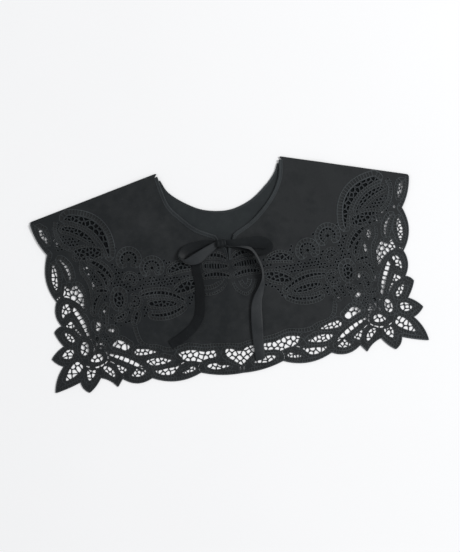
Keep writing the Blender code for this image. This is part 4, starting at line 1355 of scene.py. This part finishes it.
RIBBONS = (
    Ribbon("ribbon_loop_left", "bow_loop_left", LEFT_LOOP, 0.55, True, 0.3, False),
    Ribbon("ribbon_loop_right", "bow_loop_right", RIGHT_LOOP, 0.35, True, 0.3, True),
    Ribbon("ribbon_tail_right", "bow_tail_right", RIGHT_TAIL, 0.5, False, 0.25, True),
    Ribbon("ribbon_tail_left", "bow_tail_left", LEFT_TAIL, 0.4, False, 0.25, True),
)


@dataclass
class Tie:
    """Makes the ribbon's stretches and its knot."""

    lie: Lie
    bright: bpy.types.Material
    dull_painted_shade: bpy.types.Material
    columns: int = 13
    half_wall: float = 0.28
    rest: float = 1.1  # the ribbon's middle above the middle of the CAD cloth, where a table says 0
    gather: float = 13.0  # how far from the knot its gathers run out, in millimetres

    def surface(self, ribbon: Ribbon) -> np.ndarray:
        """The middle of the ribbon's wall: sections, columns, 3, in millimetres."""
        table = smooth_curve(ribbon.table, 1.6)
        share = np.linspace(0, 1, self.columns)
        flat = table[:, None, :2] * (1 - share)[None, :, None] + table[:, None, 3:5] * share[None, :, None]
        up = table[:, None, 2] * (1 - share) + table[:, None, 5] * share
        middle = flat.mean(axis=1)
        reach = np.concatenate([[0.0], np.cumsum(np.linalg.norm(np.diff(middle, axis=0), axis=1))])
        near = np.exp(-reach / self.gather)
        if ribbon.at_end:
            near = near + np.exp(-(reach[-1] - reach) / self.gather)
        gathers = ribbon.pleat * near[:, None] * (1 - np.cos(2 * math.pi * 3 * share)) / 2
        wave = 0.12 * (1 + np.sin(reach / 7.0))[:, None] * np.sin(math.pi * share)
        crown = ribbon.bow * np.sin(math.pi * share)[None]
        floor = self.lie.front_height(flat.reshape(-1, 2)).reshape(up.shape)
        return np.dstack([flat, floor + self.rest + up + gathers + wave + crown])

    def strip(self, surface: np.ndarray) -> Strip:
        """The ribbon's wall round its middle surface, with rolled edges."""
        along = np.gradient(surface, axis=0)
        across = np.gradient(surface, axis=1)
        normal = np.cross(along, across)
        normal /= np.maximum(np.linalg.norm(normal, axis=2), 1e-9)[..., None]
        share = np.linspace(0, 1, self.columns)
        half = self.half_wall * (1 + 0.45 * np.exp(-((np.minimum(share, 1 - share) - 0.05) / 0.05) ** 2))
        half[[0, -1]] *= 0.5
        first = surface + normal * half[None, :, None]
        second = surface - normal * half[None, :, None]
        rings = np.concatenate([first, second[:, ::-1]], axis=1)
        middle = np.array([*self.lie.shift, 0.0])
        return Strip((rings + middle) * MM, np.concatenate([share, share[::-1]]), False)

    def stretch(self, ribbon: Ribbon) -> bpy.types.Object:
        """One stretch of the ribbon, in place of its CAD solid."""
        surface = self.surface(ribbon)
        # The bright face carries painted light, the dull back painted shade.
        faces = (self.bright, self.dull_painted_shade) if ribbon.bright_first else (self.dull_painted_shade, self.bright)
        mesh = swept(ribbon.name, [self.strip(surface)], faces[0])
        mesh.materials.append(faces[1])
        column = np.arange(len(mesh.polygons)) % (2 * self.columns)
        mesh.polygons.foreach_set("material_index", (column >= self.columns).astype(np.int32))
        piece = new_piece(ribbon.name, mesh)
        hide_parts(ribbon.node)
        return piece

    def knot(self) -> bpy.types.Object:
        """The knot: the ribbon wrapped once over its own ends, creased along the wrap."""
        low, high = (np.array(corner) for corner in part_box("bow_knot"))
        columns, turns = 19, 40
        share = np.linspace(0, 1, columns)
        angle = np.linspace(0, 2 * math.pi, turns, endpoint=False)
        side = np.sqrt(np.maximum(1 - (2 * share - 1) ** 6, 0)) * 0.16 + 0.84
        side[[0, -1]] *= 0.86
        crease = 1 - 0.075 * (np.cos(2 * math.pi * 2.6 * share + 0.6) > 0.0) * np.abs(
            np.cos(2 * math.pi * 2.6 * share + 0.6)
        )
        size = (high - low) / 2
        rings = []
        for k, turn in enumerate(angle):
            round_y, round_z = math.cos(turn), math.sin(turn)
            square = (abs(round_y) ** 2.6 + abs(round_z) ** 2.6) ** (-1 / 2.6)
            reach = side * (1 + (crease - 1) * (0.35 + 0.65 * abs(math.sin(turn))))
            waist = 1 - 0.06 * math.cos(turn) ** 2
            x = (2 * share - 1) * size[0] * waist
            rings.append(np.column_stack([x, reach * size[1] * round_y * square, reach * size[2] * round_z * square]))
        body = (low + high) / 2 + np.array(rings)
        # The knot takes the back's darker dye: painted shade.
        mesh = swept_shut("ribbon_knot", body, self.dull_painted_shade)
        piece = new_piece("ribbon_knot", mesh)
        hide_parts("bow_knot")
        return piece


def swept_shut(name: str, rings: np.ndarray, material: bpy.types.Material) -> bpy.types.Mesh:
    """A closed form from lines of points side by side round an axis, with a fan over each end."""
    n, m = rings.shape[:2]
    points = np.vstack([rings.reshape(-1, 3), rings[:, 0].mean(axis=0), rings[:, -1].mean(axis=0)])
    faces: list[tuple[int, ...]] = []
    for i in range(n):
        after = (i + 1) % n
        faces.extend((i * m + j, after * m + j, after * m + j + 1, i * m + j + 1) for j in range(m - 1))
        faces.append((i * m, n * m, after * m))
        faces.append((i * m + m - 1, after * m + m - 1, n * m + 1))
    turn = np.repeat(np.arange(n) / n, m)
    across = np.tile(np.linspace(0, 1, m), n)
    uv = np.vstack([np.column_stack([turn * 0.04, across]), [[0.0, 0.0], [0.0, 1.0]]])
    mesh = mesh_from(name, points, faces, material, uv)
    shape = bmesh.new()
    shape.from_mesh(mesh)
    bmesh.ops.recalc_face_normals(shape, faces=shape.faces)
    shape.to_mesh(mesh)
    shape.free()
    mesh.shade_smooth()
    return mesh


class Shelf:
    """Small helpers to build node trees from left to right."""

    def __init__(self, tree: bpy.types.NodeTree) -> None:
        """Keep the tree and where the next node goes."""
        self.tree = tree
        self.count = 0

    def add(self, kind: str, label: str = "", **settings: object) -> bpy.types.Node:
        """A node with its properties set, placed beside the last one."""
        node = self.tree.nodes.new(kind)
        node.label = label
        node.location = (200 * (self.count % 8), -260 * (self.count // 8))
        self.count += 1
        for key, value in settings.items():
            setattr(node, key, value)
        return node

    def link(self, source: bpy.types.NodeSocket, target: bpy.types.NodeSocket) -> None:
        """Join two sockets."""
        self.tree.links.new(source, target)

    def maths(self, operation: str, first: object, second: object = None, label: str = "") -> bpy.types.NodeSocket:
        """A Math node fed by sockets or numbers."""
        node = self.add("ShaderNodeMath", label, operation=operation)
        for value, socket in zip((first, second), node.inputs):
            if isinstance(value, bpy.types.NodeSocket):
                self.link(value, socket)
            elif value is not None:
                socket.default_value = value
        return node.outputs[0]


def new_group(name: str, inputs: Sequence[tuple[str, str, object]], outputs: Sequence[tuple[str, str]]) -> Shelf:
    """An empty shader node group with named sockets, and its input and output nodes."""
    tree = bpy.data.node_groups.new(name, "ShaderNodeTree")
    for label, kind, value in inputs:
        socket = tree.interface.new_socket(label, in_out="INPUT", socket_type=kind)
        if value is not None:
            socket.default_value = value
    for label, kind in outputs:
        tree.interface.new_socket(label, in_out="OUTPUT", socket_type=kind)
    return Shelf(tree)


def woven_group() -> bpy.types.NodeTree:
    """A plain weave in object space, with slubs: its height, and a mask of the thread gaps."""
    shelf = new_group(
        "plain_weave",
        [("Pitch", "NodeSocketFloat", 0.0006), ("Slub", "NodeSocketFloat", 0.4)],
        [("Height", "NodeSocketFloat"), ("Gaps", "NodeSocketFloat")],
    )
    given = shelf.add("NodeGroupInput")
    place = shelf.add("ShaderNodeTexCoord")
    apart = shelf.add("ShaderNodeSeparateXYZ")
    shelf.link(place.outputs["Object"], apart.inputs[0])
    slub = shelf.add("ShaderNodeTexNoise", "uneven yarn")
    slub.inputs["Scale"].default_value = 420.0
    slub.inputs["Detail"].default_value = 2.0
    shelf.link(place.outputs["Object"], slub.inputs["Vector"])
    waves = []
    for axis in (0, 1):
        turns = shelf.maths("DIVIDE", apart.outputs[axis], given.outputs["Pitch"], "yarns")
        angle = shelf.maths("MULTIPLY", turns, math.pi)
        waves.append(shelf.maths("ABSOLUTE", shelf.maths("SINE", angle)))
    over = shelf.maths("MULTIPLY", waves[0], waves[1], "yarn crossings")
    uneven = shelf.maths("MULTIPLY", slub.outputs["Fac"], given.outputs["Slub"])
    height = shelf.maths("ADD", over, uneven)
    gaps = shelf.maths("SUBTRACT", 1.0, shelf.maths("POWER", over, 0.4))
    made = shelf.add("NodeGroupOutput")
    shelf.link(height, made.inputs["Height"])
    shelf.link(gaps, made.inputs["Gaps"])
    return shelf.tree


def sewn_group() -> bpy.types.NodeTree:
    """Satin stitches across a tape, from its UVs: their height, and a mask of the gaps between them."""
    shelf = new_group(
        "satin_stitch",
        [("Pitch", "NodeSocketFloat", 0.0009)],
        [("Height", "NodeSocketFloat"), ("Gaps", "NodeSocketFloat")],
    )
    given = shelf.add("NodeGroupInput")
    place = shelf.add("ShaderNodeUVMap", uv_map="cloth")
    apart = shelf.add("ShaderNodeSeparateXYZ")
    shelf.link(place.outputs["UV"], apart.inputs[0])
    lean = shelf.maths("MULTIPLY", apart.outputs[1], 0.0004, "the stitches' slant")
    turns = shelf.maths("DIVIDE", shelf.maths("ADD", apart.outputs[0], lean), given.outputs["Pitch"])
    ridge = shelf.maths("ABSOLUTE", shelf.maths("SINE", shelf.maths("MULTIPLY", turns, math.pi)), label="stitches")
    gaps = shelf.maths("SUBTRACT", 1.0, shelf.maths("POWER", ridge, 0.5))
    made = shelf.add("NodeGroupOutput")
    shelf.link(ridge, made.inputs["Height"])
    shelf.link(gaps, made.inputs["Gaps"])
    return shelf.tree


def wear_and_painted_light_group() -> bpy.types.NodeTree:
    """Soft uneven fading of black dye mixed with painted light towards one side and a painted shadow beneath the bow,
    and a little lint: one share for each.
    """
    shelf = new_group(
        "faded_dye_and_painted_light",
        [("Patches", "NodeSocketFloat", 22.0), ("Lint", "NodeSocketFloat", 900.0)],
        [("Fade", "NodeSocketFloat"), ("Lint", "NodeSocketFloat")],
    )
    given = shelf.add("NodeGroupInput")
    place = shelf.add("ShaderNodeTexCoord")
    broad = shelf.add("ShaderNodeTexNoise", "faded patches")
    broad.inputs["Detail"].default_value = 4.0
    broad.inputs["Roughness"].default_value = 0.6
    worn = shelf.add("ShaderNodeTexNoise", "small worn spots")
    worn.inputs["Scale"].default_value = 110.0
    worn.inputs["Detail"].default_value = 3.0
    shelf.link(place.outputs["Object"], worn.inputs["Vector"])
    fine = shelf.add("ShaderNodeTexNoise", "lint")
    fine.inputs["Detail"].default_value = 3.0
    for node, scale in ((broad, "Patches"), (fine, "Lint")):
        shelf.link(place.outputs["Object"], node.inputs["Vector"])
        shelf.link(given.outputs[scale], node.inputs["Scale"])
    apart = shelf.add("ShaderNodeSeparateXYZ")
    shelf.link(place.outputs["Object"], apart.inputs[0])
    # Painted light: the cloth is made lighter towards one side, and also lighter towards the shoulders.
    lean = shelf.maths("ADD", shelf.maths("MULTIPLY", apart.outputs[0], 1.1, "painted light towards one side"),
                       shelf.maths("MULTIPLY", apart.outputs[1], 0.5, "and towards the shoulders"))
    spots = shelf.maths("MULTIPLY", shelf.maths("SUBTRACT", worn.outputs["Fac"], 0.5), 0.5)
    # Painted shadow: the cloth is darker round a point beneath the bow, where the ribbons' shade falls.
    away = shelf.add("ShaderNodeVectorMath", "from the middle of the bow's shade", operation="DISTANCE")
    shelf.link(place.outputs["Object"], away.inputs[0])
    away.inputs[1].default_value = (0.004, -0.004, 0.003)
    shaded = shelf.add("ShaderNodeMapRange", "painted shadow beneath the bow", interpolation_type="SMOOTHSTEP")
    for label, value in (("From Min", 0.058), ("From Max", 0.022), ("To Max", 0.15)):
        shaded.inputs[label].default_value = value
    shelf.link(away.outputs["Value"], shaded.inputs["Value"])
    # The fade, with the painted light added and the painted shadow taken off.
    faded = shelf.maths("SUBTRACT", shelf.maths("ADD", broad.outputs["Fac"], lean), shaded.outputs["Result"])
    lint = shelf.add("ShaderNodeMapRange", "only the brightest specks")
    lint.inputs["From Min"].default_value = 0.62
    lint.inputs["From Max"].default_value = 0.8
    shelf.link(fine.outputs["Fac"], lint.inputs["Value"])
    made = shelf.add("NodeGroupOutput")
    shelf.link(shelf.maths("ADD", faded, spots), made.inputs["Fade"])
    shelf.link(lint.outputs["Result"], made.inputs["Lint"])
    return shelf.tree


def rung_group() -> bpy.types.NodeTree:
    """A tape's sewn rungs and pits, from its UVs: their height, and a mask of painted shade in the pits and, at half
    strength, between the cords at its sides.
    """
    shelf = new_group(
        "rungs_and_pits",
        [("Pitch", "NodeSocketFloat", 0.0038)],
        [("Height", "NodeSocketFloat"), ("Gaps", "NodeSocketFloat")],
    )
    given = shelf.add("NodeGroupInput")
    place = shelf.add("ShaderNodeUVMap", uv_map="cloth")
    apart = shelf.add("ShaderNodeSeparateXYZ")
    shelf.link(place.outputs["UV"], apart.inputs[0])
    turns = shelf.maths("DIVIDE", apart.outputs[0], given.outputs["Pitch"])
    rung = shelf.maths("ABSOLUTE", shelf.maths("SINE", shelf.maths("MULTIPLY", turns, math.pi)), label="rungs")
    middle = shelf.maths("ABSOLUTE", shelf.maths("SUBTRACT", apart.outputs[1], 0.5), label="off the middle")
    hollow = shelf.add("ShaderNodeMapRange", "between the cords", interpolation_type="SMOOTHSTEP")
    for label, value in (("From Min", 0.42), ("From Max", 0.31)):
        hollow.inputs[label].default_value = value
    shelf.link(middle, hollow.inputs["Value"])
    between = shelf.add("ShaderNodeMapRange", "between the rungs", interpolation_type="SMOOTHSTEP")
    for label, value in (("From Min", 0.94), ("From Max", 0.68)):
        between.inputs[label].default_value = value
    shelf.link(rung, between.inputs["Value"])
    pits = shelf.maths("MULTIPLY", hollow.outputs["Result"], between.outputs["Result"], "pits")
    # Painted shade: the hollow between the tape's cords is darkened, so the cords look lit.
    cords = shelf.add("ShaderNodeMapRange", "painted shade between the cords", interpolation_type="SMOOTHSTEP")
    for label, value in (("From Min", 0.38), ("From Max", 0.3)):
        cords.inputs[label].default_value = value
    shelf.link(middle, cords.inputs["Value"])
    gaps = shelf.maths("MAXIMUM", pits, shelf.maths("MULTIPLY", cords.outputs["Result"], 0.5))
    made = shelf.add("NodeGroupOutput")
    shelf.link(shelf.maths("SUBTRACT", 1.0, pits), made.inputs["Height"])
    shelf.link(gaps, made.inputs["Gaps"])
    return shelf.tree


class Texture(Enum):
    """Which surface texture a finish has."""

    WOVEN = "woven"
    SEWN = "sewn"
    RUNGS = "rungs"


@dataclass(frozen=True)
class Finish:
    """One black textile's look.

    Attributes:
        name: The material's name.
        dark: The dye's darkest colour, also where painted shade falls.
        light: Its faded colour, also where painted light falls.
        texture: Weave, satin stitch, or rungs and pits.
        pitch: The texture's pitch in metres.
        bump: How far the texture stands, in metres.
        rough: The roughness.
        sheen: How much the fuzz catches the light.
        gloss: The specular level.
        gap_shade: How dark the painted shade in the texture's gaps is, from 0 to 1.
    """

    name: str
    dark: tuple[float, float, float]
    light: tuple[float, float, float]
    texture: Texture
    pitch: float
    bump: float
    rough: float
    sheen: float
    gloss: float = 0.3
    gap_shade: float = 0.5


COTTON = Finish("black_cotton", (0.0071, 0.0094, 0.0109), (0.0212, 0.0234, 0.0250), Texture.WOVEN, 0.0007,
                0.0001, 0.9, 0.1)
UNDER_COTTON = Finish("under_cotton", (0.013, 0.0168, 0.019), (0.0225, 0.0272, 0.029), Texture.WOVEN, 0.0007,
                      0.0001, 0.92, 0.1)
# Painted shade: the back panel's cloth beneath the front's lace is made far darker, so that its holes look shaded.
PAINTED_SHADE_COTTON = Finish("painted_shade_cotton", (0.0030, 0.0040, 0.0046), (0.006, 0.0075, 0.0085), Texture.WOVEN, 0.0007,
                 0.0001, 0.95, 0.02, 0.12)
# The tape's pits are painted near black and the hollow between its cords darker: painted shade.
TAPE = Finish("embroidered_tape", (0.0215, 0.026, 0.0287), (0.054, 0.062, 0.0665), Texture.RUNGS, 0.0038, 0.0007,
              0.75, 0.1, 0.3, 0.95)
THREAD = Finish("cotton_thread", (0.026, 0.031, 0.034), (0.062, 0.070, 0.076), Texture.WOVEN, 0.0005, 0.00008,
                0.78, 0.1, 0.3)
RUNG = Finish("rung_thread", (0.015, 0.0185, 0.0205), (0.038, 0.044, 0.0475), Texture.WOVEN, 0.0005, 0.00008,
              0.82, 0.08, 0.25)
BIAS = Finish("bias_binding", (0.017, 0.021, 0.0235), (0.032, 0.038, 0.041), Texture.WOVEN, 0.0006, 0.0001,
              0.85, 0.15)
# The ribbon's face is glossier and fuzzier than its back, as satin is; the face's lighter dye is painted light and
# the back's far darker dye is painted shade.
SATIN_FACE_PAINTED_LIT = Finish("black_ribbon", (0.0095, 0.0120, 0.0140), (0.0165, 0.0195, 0.0220), Texture.SEWN, 0.0008, 0.00006,
               0.46, 0.2, 0.2)
SATIN_BACK_PAINTED_SHADE = Finish("black_ribbon_back", (0.0038, 0.005, 0.006), (0.007, 0.0088, 0.010), Texture.SEWN, 0.0008,
                    0.00006, 0.46, 0.02, 0.15)


class Dyer:
    """Makes the materials from their finishes, out of shared node groups."""

    def __init__(self) -> None:
        """Build the shared groups."""
        self.groups = {Texture.WOVEN: woven_group(), Texture.SEWN: sewn_group(), Texture.RUNGS: rung_group()}
        self.wear_and_painted_light = wear_and_painted_light_group()

    def material(self, finish: Finish) -> bpy.types.Material:
        """One material."""
        made = bpy.data.materials.new(finish.name)
        made.use_nodes = True
        shelf = Shelf(made.node_tree)
        shader = made.node_tree.nodes["Principled BSDF"]
        texture = shelf.add("ShaderNodeGroup", "texture", node_tree=self.groups[finish.texture])
        texture.inputs["Pitch"].default_value = finish.pitch
        wear_and_painted_light = shelf.add("ShaderNodeGroup", "wear_and_painted_light", node_tree=self.wear_and_painted_light)
        # The ramp from dark to light follows the fading, with the painted light and painted shadow in it.
        dye = shelf.add("ShaderNodeValToRGB", "dye")
        dye.color_ramp.elements[0].position, dye.color_ramp.elements[1].position = 0.27, 0.66
        dye.color_ramp.elements[0].color = (*finish.dark, 1.0)
        dye.color_ramp.elements[1].color = (*finish.light, 1.0)
        shelf.link(wear_and_painted_light.outputs["Fade"], dye.inputs["Fac"])
        lint = shelf.add("ShaderNodeMix", "lint", data_type="RGBA")
        lint.inputs["B"].default_value = (0.09, 0.095, 0.1, 1.0)
        shelf.link(shelf.maths("MULTIPLY", wear_and_painted_light.outputs["Lint"], 0.3), lint.inputs["Factor"])
        shelf.link(dye.outputs["Color"], lint.inputs["A"])
        # Painted shade: the base colour is darkened in the gaps between threads, stitches and rungs.
        gap_shade = shelf.add("ShaderNodeMix", "painted shade between threads", data_type="RGBA", blend_type="MULTIPLY")
        gap_shade.inputs["B"].default_value = (0.2, 0.2, 0.2, 1.0)
        shelf.link(shelf.maths("MULTIPLY", texture.outputs["Gaps"], finish.gap_shade), gap_shade.inputs["Factor"])
        shelf.link(lint.outputs["Result"], gap_shade.inputs["A"])
        shelf.link(gap_shade.outputs["Result"], shader.inputs["Base Color"])
        rough = shelf.add("ShaderNodeMapRange", "roughness")
        rough.inputs["To Min"].default_value = finish.rough - 0.06
        rough.inputs["To Max"].default_value = min(1.0, finish.rough + 0.08)
        shelf.link(wear_and_painted_light.outputs["Fade"], rough.inputs["Value"])
        shelf.link(rough.outputs["Result"], shader.inputs["Roughness"])
        bump = shelf.add("ShaderNodeBump", "texture height")
        bump.inputs["Distance"].default_value = finish.bump
        bump.inputs["Strength"].default_value = 0.8
        shelf.link(texture.outputs["Height"], bump.inputs["Height"])
        shelf.link(bump.outputs["Normal"], shader.inputs["Normal"])
        shader.inputs["Sheen Weight"].default_value = finish.sheen
        shader.inputs["Sheen Roughness"].default_value = 0.5
        shader.inputs["Specular IOR Level"].default_value = finish.gloss
        return made


@dataclass(frozen=True)
class Studio:
    """The pale floor, the soft light and the camera above."""

    camera_place: tuple[float, float, float] = (-0.00032, -0.0098, 1.4)
    camera_turn: float = -8.1
    lens: float = 66.4
    key_place: tuple[float, float, float] = (4.4, 0.5, 4.2)
    key_size: float = 2.2
    key_power: float = 250.0
    sky: float = 0.56

    def build(self) -> None:
        """Make everything that isn't the collar."""
        scene = bpy.context.scene
        scene.view_settings.view_transform = "Standard"
        mesh = mesh_from("floor", np.array([[-3, -3, 0], [3, -3, 0], [3, 3, 0], [-3, 3, 0]], float), [(0, 1, 2, 3)],
                         self.floor_material())
        floor = bpy.data.objects.new("floor", mesh)
        scene.collection.objects.link(floor)
        world = bpy.data.worlds.new("soft_sky")
        world.use_nodes = True
        world.node_tree.nodes["Background"].inputs["Color"].default_value = (0.98, 0.985, 1.0, 1.0)
        world.node_tree.nodes["Background"].inputs["Strength"].default_value = self.sky
        scene.world = world
        light = bpy.data.lights.new("key", "AREA")
        light.shape = "DISK"
        light.size = self.key_size
        light.energy = self.key_power
        key = bpy.data.objects.new("key", light)
        key.location = self.key_place
        key.rotation_euler = (-key.location).to_track_quat("-Z", "Y").to_euler()
        scene.collection.objects.link(key)
        camera = bpy.data.objects.new("camera", bpy.data.cameras.new("camera"))
        camera.location = self.camera_place
        camera.rotation_euler = (0.0, 0.0, math.radians(self.camera_turn))
        camera.data.lens = self.lens
        scene.collection.objects.link(camera)
        scene.camera = camera

    def floor_material(self) -> bpy.types.Material:
        """A plain pale backdrop with the faintest mottle."""
        made = bpy.data.materials.new("pale_floor")
        made.use_nodes = True
        shelf = Shelf(made.node_tree)
        shader = made.node_tree.nodes["Principled BSDF"]
        place = shelf.add("ShaderNodeTexCoord")
        mottle = shelf.add("ShaderNodeTexNoise", "mottle")
        mottle.inputs["Scale"].default_value = 3.0
        shelf.link(place.outputs["Object"], mottle.inputs["Vector"])
        tone = shelf.add("ShaderNodeValToRGB", "tone")
        tone.color_ramp.elements[0].color = (0.92, 0.922, 0.925, 1.0)
        tone.color_ramp.elements[1].color = (0.95, 0.952, 0.955, 1.0)
        shelf.link(mottle.outputs["Fac"], tone.inputs["Fac"])
        shelf.link(tone.outputs["Color"], shader.inputs["Base Color"])
        shader.inputs["Roughness"].default_value = 0.9
        shader.inputs["Specular IOR Level"].default_value = 0.1
        return made


@dataclass
class Wardrobe:
    """Everything the collar's pieces are made with."""

    lie: Lie
    threads: ThreadTree
    cotton: bpy.types.Material
    under: bpy.types.Material
    painted_shade_cloth: bpy.types.Material
    tape: bpy.types.Material
    thread: bpy.types.Material
    rung: bpy.types.Material
    bias: bpy.types.Material
    satin: bpy.types.Material
    satin_back_painted_shade: bpy.types.Material


GRID = 5.5  # between the cloth's inner points
CLOTH_WALL = 0.7
RUNG_RADIUS = 0.45
NET_RADIUS = 0.36
CORD_RADIUS = 0.85
CLOTH_DOWN = -0.15  # the shell's middle, from the middle of the CAD wall


def dress_panel(
    kit: Wardrobe, label: str, node: str, panel: Panel, edge: np.ndarray, cloth: bpy.types.Material,
    shade_outline: np.ndarray | None = None,
) -> bpy.types.Object:
    """One panel: its cloth, the tapes round its openings, their rungs and the thread round every hole.

    Args:
        kit: The tools and materials.
        label: What the pieces' names start with.
        node: The CAD solid the cloth stands for.
        panel: The panel's pattern.
        edge: Its outer edge, with the cloth on its right.
        cloth: The cloth's material.
        shade_outline: The outline of what lies over this panel; beneath it the cloth takes a much darker material,
            painted shade.

    Returns:
        The cloth's object.
    """
    points, faces = panel.shell(GRID)
    placed = panel.place(points, CLOTH_DOWN)
    shell = mesh_from(f"{label}_cloth", placed, faces, cloth, points * MM)
    # Beneath the front, the back panel takes the darker material: painted shade under the lace.
    if shade_outline is not None:
        shell.materials.append(kit.painted_shade_cloth)
        middles = points[np.array(faces)].mean(axis=1)
        shell.polygons.foreach_set("material_index", inside(middles, shade_outline).astype(np.int32))
    piece = new_piece(f"{label}_cloth", walled(f"{label}_wall", shell, CLOTH_WALL))
    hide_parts(node)
    tape = Tape(panel.place)
    strips = tape.lay(*panel.tape_paths(edge))
    bands = new_piece(f"{label}_tape", swept(f"{label}_tape", strips, kit.tape))
    rung_mesh = kit.threads.sew(f"{label}_rungs", tape.rungs, False, RUNG_RADIUS, kit.rung, 4)
    rungs = new_piece(f"{label}_rungs", rung_mesh)
    nets = [panel.place(cell, 0.05) for cell in panel.cells]
    net = new_piece(f"{label}_net", kit.threads.sew(f"{label}_net", nets, True, NET_RADIUS, kit.thread))
    cord_line = panel.place(edge, 0.4)
    cord_mesh = kit.threads.sew(f"{label}_edge", [cord_line], False, CORD_RADIUS, kit.thread, 8)
    cord = new_piece(f"{label}_edge", cord_mesh)
    log.info("%s: %d holes, %d tapes, %d rungs", label, len(panel.cells), len(strips), len(tape.rungs))
    return piece


def dress_bindings(kit: Wardrobe) -> dict[str, list[bpy.types.Object]]:
    """The bias strips round the neck and down the slit, with their topstitching, listed by panel."""
    lie = kit.lie
    made: dict[str, list[bpy.types.Object]] = {"front": [], "back": []}
    back_path = smooth_curve(BACK_NECK)
    jobs = [("binding_back", "back_binding", back_path, np.full(len(back_path), BACK_BINDING), 1, lie.back_height)]
    for name, node, neck, slit, side in (
        ("binding_right", "front_binding_right", RIGHT_NECK, RIGHT_SLIT, 1),
        ("binding_left", "front_binding_left", LEFT_NECK, LEFT_SLIT, -1),
    ):
        path, widths = neck_and_slit(neck, slit)
        jobs.append((name, node, path, widths, side, lie.front_height))
    for name, node, path, widths, side, middle in jobs:
        lift = np.zeros(len(path))
        if node == "front_binding_left":
            lift = 1.2 * np.exp(-((path[:, 0] + 34) / 17) ** 2)
        strip = binding_strip(lie, path, widths * side, middle, lift)
        piece = new_piece(name, swept(name, [strip], kit.bias))
        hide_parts(node)
        seam = inset(path, side * (widths - 0.9))
        line = lie.placed(seam, middle(seam) + 0.78 + 0.4 * lift)
        over = overcast_lines(strip.rings[:, [0, 1, 2, 3, 4]] + np.array([0.0, 0.0, 0.00008]), 0.0026, 0.0004)
        stitches = kit.threads.sew(
            f"{name}_stitches", [*stitch_lines(line, 0.0026, 0.0017), *over], False, 0.24, kit.thread, 4)
        sewn = new_piece(f"{name}_stitches", stitches)
        made["back" if node == "back_binding" else "front"].extend([piece, sewn])
    return made


def main() -> None:
    """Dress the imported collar."""
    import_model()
    Studio().build()
    dyer = Dyer()
    lie = Lie()
    kit = Wardrobe(lie, ThreadTree(), *(dyer.material(finish) for finish in (
        COTTON, UNDER_COTTON, PAINTED_SHADE_COTTON, TAPE, THREAD, RUNG, BIAS, SATIN_FACE_PAINTED_LIT, SATIN_BACK_PAINTED_SHADE)))
    maker = LaceMaker()
    back, back_edge = back_panel(lie, maker)
    front, front_edge = front_panel(lie, maker)
    bindings = dress_bindings(kit)
    dress_panel(kit, "back", "back_panel", back, back_edge, kit.under,
                front.outline)
    dress_panel(kit, "front", "front_panel", front, front_edge, kit.cotton)
    tie = Tie(lie, kit.satin, kit.satin_back_painted_shade)
    for ribbon in RIBBONS:
        tie.stretch(ribbon)
    tie.knot()


if __name__ == "__main__":
    logging.basicConfig(level=logging.INFO)
    main()
